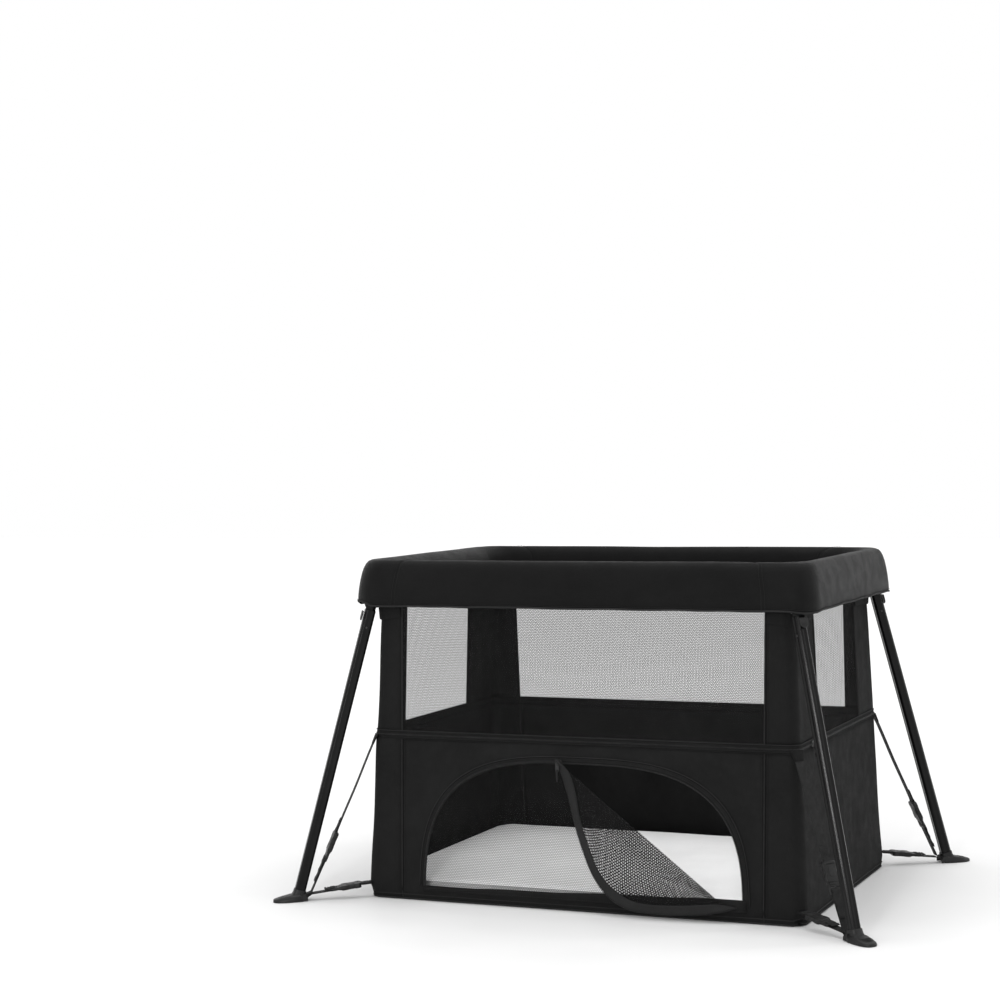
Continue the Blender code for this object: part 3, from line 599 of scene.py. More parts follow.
def corner_run(sx, sy):
    """The wall's run round a corner, from the long wall's seam to the end wall's seam."""
    def run(z, out):
        hx, hy, r = half_at(z, out)
        points = [(x, hy) for x in stretch(SEAM_X, hx - r, 3)] + bend(hx - r, hy - r, r)
        points += [(hx, y) for y in stretch(hy - r, SEAM_Y, 12)[1:]] + [(hx, SEAM_Y)]
        return [Vector((x * sx, y * sy, z)) for x, y in points]
    return run


def end_run(sx):
    """The run round a whole end, from the front's seam to the back's seam."""
    def run(z, out):
        hx, hy, r = half_at(z, out)
        corner = [(x, hy) for x in stretch(SEAM_X, hx - r, 3)] + bend(hx - r, hy - r, r)
        middle = [(hx, y) for y in stretch(hy - r, r - hy, 44)[1:]]
        points = [(x, -y) for x, y in corner] + [(x, -y) for x, y in middle] + corner[::-1]
        return [Vector((x * sx, y, z)) for x, y in points]
    return run


def long_run(sy):
    """The run of a window or lower wall along the front or back."""
    def run(z, out):
        hy = half_at(z, out)[1]
        return [Vector((x, sy * hy, z)) for x in stretch(-SEAM_X, SEAM_X, 72) + [SEAM_X]]
    return run


def short_run(sx):
    """The run of a window at an end."""
    def run(z, out):
        hx = half_at(z, out)[0]
        return [Vector((sx * hx, y, z)) for y in stretch(-SEAM_Y, SEAM_Y, 32) + [SEAM_Y]]
    return run


def around(z, out, per_long=70, per_short=44):
    """The whole outline at a height, anticlockwise, as a closed run."""
    hx, hy, r = half_at(z, out)
    corner = bend(hx - r, hy - r, r, 8)
    points = corner[::-1]
    points += [(x, hy) for x in stretch(hx - r, r - hx, per_long)[1:]]
    points += [(-x, y) for x, y in corner]
    points += [(-hx, y) for y in stretch(hy - r, r - hy, per_short)[1:]]
    points += [(-x, -y) for x, y in corner[::-1]]
    points += [(x, -hy) for x in stretch(r - hx, hx - r, per_long)[1:]]
    points += [(x, -y) for x, y in corner]
    points += [(hx, y) for y in stretch(r - hy, hy - r, per_short)[1:]]
    return [Vector((x, y, z)) for x, y in points]


def cloud_at(point, size, tall, seed):
    """Smooth value from -1 to 1; size across and tall up are its scale in metres."""
    return noise.noise(Vector((point.x / size + seed, point.y / size, point.z / tall)))


def hung_rows(run, z0, z1, count, out, ripple):
    """Rows of a wall's cloth from z0 up to z1, moved outwards by ripple(point, share along, share up)."""
    rows = []
    for i in range(count + 1):
        z = z0 + (z1 - z0) * i / count
        points = run(z, out)
        row = []
        for j, p in enumerate(points):
            before, after = points[max(j - 1, 0)], points[min(j + 1, len(points) - 1)]
            normal = (after - before).cross(UP).normalized()
            if normal.x * p.x + normal.y * p.y < 0:
                normal = -normal
            row.append(p + normal * ripple(p, j / (len(points) - 1), i / count))
        rows.append(row)
    return rows


def edge_fade(share, reach):
    """0 at both ends of a run, 1 further than reach from them."""
    return min(1.0, share / reach, (1.0 - share) / reach)


# ---- padded top rail -------------------------------------------------------------------------------
# outer hem, over the crest, down to the inner hem, and back under: half x, half y, radius, z
RIM_PROFILE = [
    (0.4635, 0.2915, 0.0455, 0.5665),
    (0.4615, 0.2890, 0.0455, 0.600),
    (0.4570, 0.2845, 0.0470, 0.630),
    (0.4505, 0.2770, 0.0440, 0.648),
    (0.4425, 0.2680, 0.0420, 0.655),
    (0.4250, 0.2590, 0.0440, 0.6535),
    (0.4050, 0.2500, 0.0440, 0.643),
    (0.3950, 0.2465, 0.0420, 0.625),
    (0.3935, 0.2495, 0.0430, 0.588),
    (0.3975, 0.2535, 0.0450, 0.588),
    (0.3990, 0.2505, 0.0435, 0.6235),
    (0.4075, 0.2535, 0.0440, 0.6385),
    (0.4250, 0.2615, 0.0440, 0.6495),
    (0.4405, 0.2665, 0.0410, 0.6505),
    (0.4480, 0.2740, 0.0425, 0.6445),
    (0.4537, 0.2807, 0.0445, 0.6275),
    (0.4580, 0.2855, 0.0425, 0.599),
    (0.4600, 0.2880, 0.0420, 0.5665),
]
# how far the outer hem hangs lower at each corner; it rides up at the front left
RIM_DROOP = {(-1, -1): -0.008, (1, -1): 0.003, (1, 1): 0.002, (-1, 1): 0.002}
RIM_SKIN_ROWS = range(1, 8)       # the rows that show, which the foam pushes out
OUTER_HEM_ROWS = (0, len(RIM_PROFILE) - 1)
INNER_HEM_ROW = 8
SEAM_SHARE = 0.885                # the rail's cross seams, as a share of its straight run
SEAM_DEPTH = 0.0016


def rim_shares():
    """Places along a long side, from -1 to 1, close together at the two cross seams."""
    shares = {-1 + i / 30 for i in range(61)}
    for seam in (-SEAM_SHARE, SEAM_SHARE):
        shares = {s for s in shares if abs(s - seam) > 0.026}
        shares |= {seam + d for d in (-0.020, -0.008, 0.0, 0.008, 0.020)}
    return sorted(shares)


def rim_ring(hx, hy, r):
    """Anticlockwise from the front left: x, y, turned 0-1, drop of the hem, nearness to a cross seam 0-1."""
    ring = []
    steps = 9
    for sx, sy in ((-1, -1), (1, -1), (1, 1), (-1, 1)):
        turn = {(-1, -1): 180, (1, -1): 270, (1, 1): 0, (-1, 1): 90}[(sx, sy)]
        for k in range(steps + 1):
            a = math.radians(turn + 90 * k / steps)
            x, y = sx * (hx - r) + r * math.cos(a), sy * (hy - r) + r * math.sin(a)
            turned = math.sin(math.pi * k / steps)
            ring.append((x, y, turned, RIM_DROOP[sx, sy] * turned, 0.0))
        if (sx, sy) in ((-1, -1), (1, 1)):
            for s in rim_shares()[1:-1]:
                near = math.exp(-((abs(s) - SEAM_SHARE) / 0.009) ** 2)
                ring.append((-sx * s * (hx - r), sy * hy, 0.0, 0.0, near))
        else:
            for i in range(1, 34):
                ring.append((sx * hx, sy * (hy - r) * (1 - 2 * i / 34), 0.0, 0.0, 0.0))
    return ring


def rim_rows():
    """The cover's rows: the profile carried round, a wavy hem, and the padding's swelling and creases."""
    flat = [rim_ring(*row[:3]) for row in RIM_PROFILE]
    rows = []
    for k, ring in enumerate(flat):
        row = []
        for x, y, _, drop, _ in ring:
            z = RIM_PROFILE[k][3]
            if k in OUTER_HEM_ROWS:
                wave = 0.0016 * cloud_at(Vector((x, y, 0)), 0.060, 1.0, 3.0)
                z += wave - drop
            row.append(Vector((x, y, z)))
        rows.append(row)
    size = len(rows[0])
    swollen = [list(row) for row in rows]
    for k in RIM_SKIN_ROWS:
        for i in range(size):
            turned, _, near = flat[k][i][2:]
            p = rows[k][i]
            normal = (rows[k][(i + 1) % size] - rows[k][i - 1]).cross(rows[k + 1][i] - rows[k - 1][i])
            normal.normalize()
            if normal.dot(Vector((p.x, p.y, 0.3 * (p.z - 0.6)))) < 0 and k < 5:
                normal = -normal
            if k >= 5 and normal.z < 0:
                normal = -normal
            swell = 0.0011 * cloud_at(p, 0.190, 0.3, 1.0) + 0.0002 * cloud_at(p, 0.045, 0.12, 7.0)
            crease = turned * 0.0012 * cloud_at(p, 0.018, 0.11, 4.0)
            swollen[k][i] = p + normal * (swell + crease - SEAM_DEPTH * near)
    return swollen


def padded_rail():
    """The padded cover over the rail, its hem pipings and its stitching."""
    rows = rim_rows()
    rail = piece("rim_padding", outward(grid_mesh(rows, True, True)), RIM_CLOTH, "root")
    refine(rail)
    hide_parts("rim_cover")
    for name, first, second in (("outer", 0, -1), ("inner", INNER_HEM_ROW, INNER_HEM_ROW + 1)):
        hem = [a.lerp(b, 0.4) + UP * 0.0014 for a, b in zip(rows[first], rows[second])]
        piping(f"rim_piping_{name}", hem, 0.0020, True)
    seam = [a.lerp(b, 0.16) for a, b in zip(rows[0], rows[1])]
    lifted = [p + level_way(p) * 0.0009 for p in seam]
    sewing("rim_hem_stitching", [stitches(lifted, [level_way(p) for p in seam], True)])
    # a top-stitched line beside each cross seam
    runs = []
    size = len(rows[0])
    flat = rim_ring(*RIM_PROFILE[0][:3])
    for i in range(size):
        if flat[i][4] > 0.99:
            for step in (-1, 1):
                line = [rows[k][(i + step) % size] for k in range(0, 8)]
                ups = [Vector((0, p.y, (p.z - 0.6) * 2)).normalized() for p in line]
                runs.append(stitches([p + u * 0.0007 for p, u in zip(line, ups)], UP + Vector((0, 0.3, 0))))
    sewing("rim_seam_stitching", runs)


# ---- walls -----------------------------------------------------------------------------------------
SKIRT_T = 0.0015                  # thickness of the lower walls' cloth
HEM_Z = 0.0015                    # the lower walls end this high above the floor
SEAM_CORD_R = 0.0014


def crosswise(mesh):
    """Turns the net's pattern a quarter round, as on a panel cut across the roll."""
    for loop in mesh.uv_layers[0].data:
        loop.uv = (loop.uv.y, loop.uv.x)
    return mesh


def net_window(name, run, cut=None):
    """A window of net, which sags a little inwards."""
    def ripple(p, s, t):
        hollow = -0.0035 * math.sin(math.pi * s) * math.sin(math.pi * t)
        return hollow + 0.0009 * edge_fade(s, 0.06) * edge_fade(t, 0.1) * cloud_at(p, 0.21, 0.17, 2.0)

    rows = hung_rows(run, BAND_Z1, WALL_TOP_Z, 14, -0.0006, ripple)
    mesh = grid_mesh(rows)
    window = piece(f"net_{name}", cut(mesh) if cut else mesh, NETTING, "root")
    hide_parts(f"mesh_{name}")


def corner_panel(corner, sx, sy):
    """The cloth between two windows, gathered towards the rail, with a piped and stitched seam each side."""
    def ripple(p, s, t):
        fade = edge_fade(s, 0.12)
        gather = 0.0032 * max(0.0, t - 0.45) ** 1.5 * math.sin(46 * s * math.pi / 2 + 3 * t)
        return fade * (gather + 0.0018 * edge_fade(t, 0.08) * cloud_at(p, 0.045, 0.16, 5.0) - 0.0012)

    rows = hung_rows(corner_run(sx, sy), BAND_Z1, WALL_TOP_Z, 28, 0.0, ripple)
    panel = cloth(f"corner_cloth_{corner}", grid_mesh(rows), 0.0013)
    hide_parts(f"corner_panel_{corner}")
    lengths(rows[14])[-1]
    for name, end, step in (("long", 0, 1), ("end", -1, -1)):
        line = [row[end] + (row[end] - row[end + step]).normalized() * 0.0004 for row in rows]
        edge = [p + Vector((p.x * (name == "end"), p.y * (name == "long"), 0)).normalized() * 0.0006
                for p in line]
        piping(f"seam_piping_{corner}_{name}", edge, SEAM_CORD_R)
        inboard = [row[end + step].lerp(row[end], 0.62) for row in rows]
        across = Vector((sx * (name == "end"), sy * (name == "long"), 0))
        laid = [p + across * 0.0004 for p in inboard]
        sewing(f"seam_stitching_{corner}_{name}", [stitches(laid, across)])


END_TUCK = 0.012                  # how far the hem turns in at the corners


def skirt_ripple(seed, corner_tuck):
    """Soft hollows of a lower wall, and the tuck of its hem at the corners."""
    def ripple(p, s, t):
        soft = 0.0026 * cloud_at(p, 0.10, 0.17, seed) + 0.0010 * cloud_at(p, 0.03, 0.10, seed + 4)
        hx, hy, r = half_at(p.z)
        turned = max(0.0, 1 - (hx - abs(p.x)) / r) * max(0.0, 1 - (hy - abs(p.y)) / r) * 2
        tuck = corner_tuck * turned * max(0.0, 1 - t / 0.09) ** 2
        return edge_fade(t, 0.10) * edge_fade(s, 0.05) * soft - tuck
    return ripple


def plain_skirt(name, run, seed, corner_tuck=0.0):
    """A lower wall without a door."""
    rows = hung_rows(run, HEM_Z, BAND_Z0, 28, 0.0, skirt_ripple(seed, corner_tuck))
    skirt = cloth(f"skirt_cloth_{name}", grid_mesh(rows), SKIRT_T)
    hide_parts(f"skirt_{name}")
    wide = 2 * SEAM_X if name == "back" else lengths(rows[14])[-1]
    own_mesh(skirt)


def skirt_seams():
    """Piping and a stitched line down each seam of the lower wall."""
    for sx in (-1, 1):
        for sy in (-1, 1):
            heights = [0.002 + (BAND_Z0 - 0.004) * i / 24 for i in range(25)]
            line = [Vector((sx * SEAM_X, sy * half_at(z, 0.0007)[1], z)) for z in heights]
            side = "front" if sy < 0 else "back"
            end = "left" if sx < 0 else "right"
            cord = piping(f"skirt_piping_{side}_{end}", line, SEAM_CORD_R)
            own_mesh(cord)
            runs = [stitches([p + Vector((dx, sy * 0.0003, 0)) for p in line], Vector((0, sy, 0)))
                    for dx in (-0.005, 0.005)]
            rows = sewing(f"skirt_stitching_{side}_{end}", runs)
            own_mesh(rows)


# ---- the crawl door ----------------------------------------------------------------------------------
DOOR_OUT = Vector((0, -1, LEAN_Y)).normalized()


def on_front(x, z, out=0.0):
    """A point of the leaning front wall, a distance outside its face."""
    return Vector((x, -(FLOOR_Y - LEAN_Y * z - tuck_at(z)), z)) + DOOR_OUT * out


def arch_z(x, grow=0.0):
    """Height of the arch at a place along the wall."""
    half, height = DOOR_HALF + grow, DOOR_H + grow
    return height * (1 - min(abs(x - DOOR_X) / half, 1.0) ** DOOR_POWER) ** (1 / DOOR_POWER)


def arch_run(start, end, grow, count):
    """(x, z) along the arch between two turns in degrees, 180 at the left and 0 at the right."""
    half, height = DOOR_HALF + grow, DOOR_H + grow
    points = []
    for i in range(count + 1):
        a = math.radians(start + (end - start) * i / count)
        c, s = math.cos(a), math.sin(a)
        points.append((DOOR_X + math.copysign(abs(c) ** (2 / DOOR_POWER), c) * half,
                       max(s, 0.0) ** (2 / DOOR_POWER) * height))
    return points


HALF_SILL = DOOR_HALF * (1 - (DOOR_SILL / DOOR_H) ** DOOR_POWER) ** (1 / DOOR_POWER)
SILL_TURN = math.degrees(math.asin((DOOR_SILL / DOOR_H) ** (DOOR_POWER / 2)))
SLIDER_TURN = 180 - math.degrees(math.acos((abs(SLIDER_X - DOOR_X) / DOOR_HALF) ** (DOOR_POWER / 2)))
SLIDER_Z = arch_z(SLIDER_X)
TOOTH_PITCH = 0.0021
FOLD_END_X = 0.290                # where the fold line of the open flap meets the sill
FOLD_START = Vector((SLIDER_X, SLIDER_Z))
FOLD_END = Vector((FOLD_END_X, DOOR_SILL))


def arch_reach(turn, centre):
    """How far the opening runs from a point inside it, at an angle."""
    low, high = 0.0, 0.5
    c, s = math.cos(turn), math.sin(turn)
    for _ in range(28):
        mid = (low + high) / 2
        x, z = centre[0] + c * mid, centre[1] + s * mid
        inside = z > DOOR_SILL and z < arch_z(x) and abs(x - DOOR_X) < DOOR_HALF
        low, high = (mid, high) if inside else (low, mid)
    return low


def front_skirt():
    """The front panel round the door's opening, as rings from the arch out to the seams."""
    centre, rings = (DOOR_X, 0.12), 9
    corners = [(sx * SEAM_X, z) for sx in (-1, 1) for z in (HEM_Z, BAND_Z0)]
    corners += [(DOOR_X + s * HALF_SILL, DOOR_SILL) for s in (-1, 1)]
    turns = {round(math.tau * i / 150, 6) for i in range(150)}
    turns |= {round(math.atan2(z - centre[1], x - centre[0]) % math.tau, 6) for x, z in corners}
    rows = [[] for _ in range(rings + 1)]
    for turn in sorted(turns):
        c, s = math.cos(turn), math.sin(turn)
        near = arch_reach(turn, centre)
        far_x = ((SEAM_X if c > 0 else -SEAM_X) - centre[0]) / c if abs(c) > 1e-6 else 9
        far_z = ((BAND_Z0 if s > 0 else HEM_Z) - centre[1]) / s if abs(s) > 1e-6 else 9
        far = min(far_x, far_z)
        for k in range(rings + 1):
            reach = near + (far - near) * k / rings
            x, z = centre[0] + c * reach, centre[1] + s * reach
            fade = min(1.0, (far - reach) / 0.04, (reach - near) / 0.05, (SEAM_X - abs(x)) / 0.02)
            p = on_front(x, z)
            soft = 0.0026 * cloud_at(p, 0.09, 0.12, 23.0) + 0.0011 * cloud_at(p, 0.03, 0.07, 29.0)
            rows[k].append(on_front(x, z, max(fade, 0.0) * soft))
    mesh = grid_mesh(rows, wrap_row=True, flat_uv=lambda p: (p.x, p.z))
    skirt = cloth("skirt_cloth_front", outward(mesh), SKIRT_T)
    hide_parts("skirt_front")
    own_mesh(skirt)


def door_frame():
    """Tape, piping and half a zip round the opening, and the bound sill."""
    turns = (180 - SILL_TURN, SILL_TURN)
    tape_rows = []
    for grow, raised in ((-0.0015, 0.0012), (0.0020, 0.0020), (0.0060, 0.0020), (0.0092, 0.0012)):
        tape_rows.append([on_front(x, z, raised) for x, z in arch_run(*turns, grow, 90)])
    pieces = [cloth("arch_tape", grid_mesh(tape_rows), 0.0011)]
    for name, grow, out, radius, finish in (("arch_piping", 0.0102, 0.0014, 0.0011, BINDING),
                                            ("arch_coil", -0.0012, 0.0016, 0.0011, ZIP_TAPE)):
        line = [on_front(x, z, out) for x, z in arch_run(*turns, grow, 120)]
        pieces.append(piece(name, cord_mesh(line, radius, up=DOOR_OUT), finish, "root"))
    closed = [on_front(x, z, 0.0024) for x, z in arch_run(180 - SILL_TURN, SLIDER_TURN, 0.0006, 120)]
    opened = [on_front(x, z, 0.0018) for x, z in arch_run(SLIDER_TURN, SILL_TURN, -0.0022, 160)]
    for name, line, half in (("arch_teeth_closed", closed, 0.0019), ("arch_teeth_open", opened, 0.0012)):
        frames = frames_along(spaced(line, TOOTH_PITCH), DOOR_OUT)
        pieces.append(piece(name, bead_mesh(frames, (0.0007, half, 0.0006)), ZIP_TEETH, "root"))
    rows = []
    for grow in (0.0030, 0.0072):
        rows.append(stitches([on_front(x, z, 0.0021) for x, z in arch_run(*turns, grow, 150)], DOOR_OUT))
    pieces.append(sewing("arch_stitching", rows))
    places = [DOOR_X - HALF_SILL - 0.004 + (2 * HALF_SILL + 0.008) * i / 60 for i in range(61)]
    tops = [0.0285 + 0.0235 * (x + 0.31) + 0.0008 * math.sin(31 * x) for x in places]
    rows = [[on_front(x, 0.0190, 0.0006) for x in places], [on_front(x, 0.0210, 0.0016) for x in places],
            [on_front(x, top - 0.0030, 0.0026) for x, top in zip(places, tops)],
            [on_front(x, top, 0.0020) for x, top in zip(places, tops)]]
    pieces.append(cloth("sill_binding", outward(grid_mesh(rows)), 0.0018, offset=0.0))
    runs = [stitches([on_front(x, z, 0.0036) for x, z in zip(places, heights)], DOOR_OUT)
            for heights in ([0.0225] * len(places), [top - 0.0035 for top in tops])]
    pieces.append(sewing("sill_stitching", runs))
    for each in pieces:
        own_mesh(each)


def closed_net():
    """The part of the door that is still zipped, left of the fold line."""
    rows_up, columns = 16, 96
    left = DOOR_X - HALF_SILL + 0.0015
    rows = [[] for _ in range(rows_up + 1)]
    for i in range(columns + 1):
        share = i / columns
        x = left + (FOLD_END_X - left) * share ** 1.35
        if x < SLIDER_X:
            top = arch_z(x, -0.001)
        else:
            along = (x - SLIDER_X) / (FOLD_END_X - SLIDER_X)
            top = SLIDER_Z + (DOOR_SILL - SLIDER_Z) * along
        for k in range(rows_up + 1):
            t = k / rows_up
            z = DOOR_SILL + (max(top, DOOR_SILL + 0.0004) - DOOR_SILL) * t
            slack = -0.004 * math.sin(math.pi * t) * math.sin(math.pi * share) - 0.0004
            rows[k].append(on_front(x, z, slack))
    mesh = grid_mesh(rows, flat_uv=lambda p: (p.x, p.z))
    net_piece = piece("door_net_closed", mesh, NETTING, "root")
    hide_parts("door_mesh")
    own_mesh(net_piece)


# the free edge of the open flap as it hangs, from the slider to the sill: x, z, distance outside the wall
FREE_EDGE = [
    (-0.037, 0.2775, 0.0040), (-0.024, 0.252, 0.0085), (-0.010, 0.214, 0.0120), (0.003, 0.167, 0.0150),
    (0.020, 0.120, 0.0180), (0.042, 0.074, 0.0210), (0.072, 0.039, 0.0235), (0.110, 0.0185, 0.0250),
    (0.152, 0.0125, 0.0250), (0.205, 0.0125, 0.0225), (0.255, 0.0165, 0.0170), (0.290, 0.0225, 0.0110),
    (0.312, 0.0290, 0.0055),
]


def curve_point(points, share):
    """Catmull-Rom through the points, at a share of their number."""
    at = share * (len(points) - 1)
    i = min(int(at), len(points) - 2)
    t = at - i
    a, b, c, d = (Vector(points[max(0, min(len(points) - 1, i + k))]) for k in (-1, 0, 1, 2))
    square, cube = 2 * a - 5 * b + 4 * c - d, 3 * b - a - 3 * c + d
    return 0.5 * (2 * b + (c - a) * t + square * t * t + cube * t ** 3)


def flap_rows(along=72, across=22):
    """From the fold line (first row) to the free edge (last row)."""
    rows = [[] for _ in range(across + 1)]
    for i in range(along + 1):
        s = i / along
        x, z = FOLD_START.lerp(FOLD_END, s)
        edge_x, edge_z, edge_out = curve_point(FREE_EDGE, s)
        for k in range(across + 1):
            t = k / across
            belly = math.sin(math.pi * t) * math.sin(math.pi * s)
            round_over = 0.0032 + 0.0030 * min(1.0, t / 0.12)
            out = round_over * (1 - t) + edge_out * t + 0.0085 * belly
            px, pz = x + (edge_x - x) * t, z + (edge_z - z) * t
            spot = Vector((px, out, pz))
            fold = 0.0030 * belly * cloud_at(spot, 0.028, 0.05, 31.0)
            fold += 0.0045 * belly * cloud_at(spot, 0.09, 0.12, 37.0)
            rows[k].append(on_front(px, pz - 0.004 * belly, max(out + fold, 0.0030)))
    return rows


FLAP_WIDTH = 0.21                 # across the fold line, at its widest


def open_flap():
    """The unzipped part of the door: two layers of net, with a bound and stitched edge and its teeth."""
    rows = flap_rows()
    flap = piece("door_flap_net", grid_mesh(rows), FLAP_NET, "door")
    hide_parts("door_flap")
    lining = [[p - DOOR_OUT * (0.0018 * math.sin(math.pi * min(1.0, k / 8)) + 0.0004) for p in row]
              for k, row in enumerate(rows)]
    second = piece("door_flap_net_back", grid_mesh(lining), FLAP_NET, "door")
    flat = (lengths(rows[0])[-1], FLAP_WIDTH)
    for each in (flap, second):
        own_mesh(each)
    free = rows[-1]
    inward = [(a - b).normalized() for a, b in zip(rows[-3], free)]
    middle = [p + w * 0.0075 for p, w in zip(free, inward)]
    binding = piece("door_flap_binding", ribbon_mesh(middle, inward, 0.0185, 0.0030), BINDING, "door")
    faces = [frame_[3] for frame_ in frames_along(middle, DOOR_OUT)]
    runs = []
    for offset in (0.0015, 0.0140):
        line = [p + w * offset + f * 0.0016 for p, w, f in zip(free, inward, faces)]
        runs.append(stitches(line, faces))
    row = sewing("door_flap_stitching", runs, "door")
    edge = [p - w * 0.0022 for p, w in zip(free, inward)]
    frames = frames_along(spaced(edge, TOOTH_PITCH), DOOR_OUT)
    teeth = piece("door_flap_teeth", bead_mesh(frames, (0.0007, 0.0012, 0.0007)), ZIP_TEETH, "door")
    for each in (binding, row, teeth):
        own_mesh(each)


# ---- zips and sliders ----------------------------------------------------------------------------------
BAND_OUT = 0.0011                 # the band's piping and stitches, outside the walls' face


def level_zip():
    """The band round the body: zip tape, teeth, stitching, and piping along both edges."""
    band_rows = []
    for z, out in ((BAND_Z0 - 0.0012, 0.0003), (BAND_Z0 + 0.002, 0.0008), (BAND_Z1 - 0.003, 0.0008),
                   (BAND_Z1 + 0.0012, 0.0003)):
        band_rows.append(around(z, out))
    tape = cloth("level_zip_tape", outward(grid_mesh(band_rows, wrap_row=True)), 0.0012)
    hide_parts("level_zip")
    middle = (BAND_Z0 + BAND_Z1) / 2
    ring = around(middle, 0.0015)
    points = spaced(ring, 0.0024, True)
    faces = [outward_at(p) for p in points]
    teeth = bead_mesh(frames_along(points, faces, True), (0.0008, 0.0019, 0.0006))
    piece("level_zip_teeth", teeth, ZIP_TEETH, "root")
    for name, z, radius, finish in (("upper", BAND_Z1 + 0.0014, 0.0010, BINDING),
                                    ("lower", BAND_Z0 - 0.0012, 0.0008, FABRIC)):
        piping(f"level_piping_{name}", around(z, BAND_OUT), radius, True, finish=finish)
    rows = []
    for z in (BAND_Z1 - 0.0015, BAND_Z0 + 0.0015):
        line = around(z, BAND_OUT)
        rows.append(stitches(line, [outward_at(p) for p in line], True))
    sewing("level_zip_stitching", rows)


def outward_at(p):
    """The level direction away from the playpen at a point of its wall."""
    hx, hy, r = half_at(p.z)
    dx, dy = max(abs(p.x) - (hx - r), 0.0), max(abs(p.y) - (hy - r), 0.0)
    if dx and dy:
        return Vector((math.copysign(dx, p.x), math.copysign(dy, p.y), 0)).normalized()
    return Vector((math.copysign(1, p.x), 0, 0)) if dx else Vector((0, math.copysign(1, p.y), 0))


def slider_meshes(place):
    """A zip slider, x across the teeth, y along them, z outwards: two plates, a wedge and a bridge."""
    wings = [(-0.0042, -0.0050), (-0.0026, -0.0062), (0.0026, -0.0062), (0.0042, -0.0050), (0.0055, 0.0030),
             (0.0040, 0.0056), (0.0014, 0.0050), (0.0, 0.0036), (-0.0014, 0.0050), (-0.0040, 0.0056),
             (-0.0055, 0.0030)]
    low = moulding([wings], 0.0011, 0.0003, place @ Matrix.Translation((0, 0, -0.0006)))
    top = moulding([wings], 0.0012, 0.0004, place @ Matrix.Translation((0, 0, 0.0026)))
    wedge = moulding([rounded(0.0012, 0.0022, 0.0008)], 0.0032, 0.0002,
                     place @ Matrix.Translation((0, 0.0028, 0.001)))
    arch = [Vector((0, -0.0044, 0.0030)), Vector((0, -0.0040, 0.0046)), Vector((0, -0.0020, 0.0054)),
            Vector((0, 0.0008, 0.0054)), Vector((0, 0.0026, 0.0044)), Vector((0, 0.0030, 0.0030))]
    bridge = ribbon_mesh([place @ p for p in arch], place.to_3x3() @ Vector((1, 0, 0)), 0.0016, 0.0009)
    return [low, top, wedge, bridge]


def pull_meshes(place, length):
    """A pull tab hanging down -y from its eye: a ring plate and a bound cloth tail."""
    plate = moved(rounded(0.0032, 0.0072, 0.0028), -0.0060)
    eye = moved(rounded(0.0016, 0.0013, 0.0010), -0.0012)
    tail_hole = moved(rounded(0.0021, 0.0012, 0.0008), -0.0096)
    metal_part = moulding([plate, eye, tail_hole], 0.0014, 0.0004, place)
    across = place.to_3x3() @ Vector((1, 0, 0))
    run = [Vector((0, -0.0100, 0.0013)), Vector((0, -0.0118, 0.0016)), Vector((0, -0.015, 0.0006))]
    run += [Vector((0, -0.015 - (length - 0.015) * i / 6, 0.0006 + 0.0007 * math.sin(i)))
            for i in range(1, 7)]
    tail = ribbon_mesh([place @ p for p in run], across, 0.0042, 0.0019)
    return metal_part, tail


def sliders():
    """The slider and pull of the door's zip, and those of the level zip."""
    east, north = Vector((1, 0, 0)), Vector((0, 1, 0))
    up = DOOR_OUT.cross(east)
    place = axes_matrix(on_front(SLIDER_X, SLIDER_Z, 0.0022), up, -east, DOOR_OUT)
    slider = piece("door_slider", joined(slider_meshes(place)), PAINTED, "root", 40)
    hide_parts("door_zip_slider")
    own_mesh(slider)
    hang = axes_matrix(on_front(SLIDER_X, SLIDER_Z - 0.0045, 0.0088), east, up, DOOR_OUT)
    plate, tail = pull_meshes(hang, 0.0320)
    tab = piece("door_pull_tab", plate, PAINTED, "door_pull", 40)
    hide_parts("door_zip_pull")
    cloth_tail = piece("door_pull_tail", tail, BINDING, "door_pull")
    for each in (tab, cloth_tail):
        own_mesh(each)
    low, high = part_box("level_zip_slider")
    y, z = (low.y + high.y) / 2, (BAND_Z0 + BAND_Z1) / 2
    at = Vector((half_at(z)[0] + 0.0022, y, z))
    place = axes_matrix(at, -UP, north, (-UP).cross(north))
    slider = piece("level_slider_body", joined(slider_meshes(place)), PAINTED, "level_slider", 40)
    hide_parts("level_zip_slider")
    hang = axes_matrix(at + Vector((0.0046, 0, -0.0035)), north, UP, east)
    plate, tail = pull_meshes(hang, 0.0230)
    piece("level_pull_tab", plate, PAINTED, "level_slider", 40)
    piece("level_pull_tail", tail, BINDING, "level_slider")


# ---- legs ----------------------------------------------------------------------------------------------
def leg_frame(sx, sy):
    """Hinge, unit vector down the leg, and the unit vectors outboard and sideways of it."""
    hinge, foot = mirrored(HINGE, sx, sy), mirrored(FOOT, sx, sy)
    down = (foot - hinge).normalized()
    side = down.cross(UP).normalized()
    out = side.cross(down).normalized()
    if out.x * sx < 0:
        out = -out
    return hinge, down, out, side


def softened(corner, back, on, soft):
    """A corner of an outline rounded off; back and on are the directions of the edges that meet in it."""
    corner = Vector(corner)
    start, end = corner + back * soft, corner + on * soft
    return [tuple(start.lerp(corner, t).lerp(corner.lerp(end, t), t)) for t in (0, 0.25, 0.5, 0.75, 1.0)]


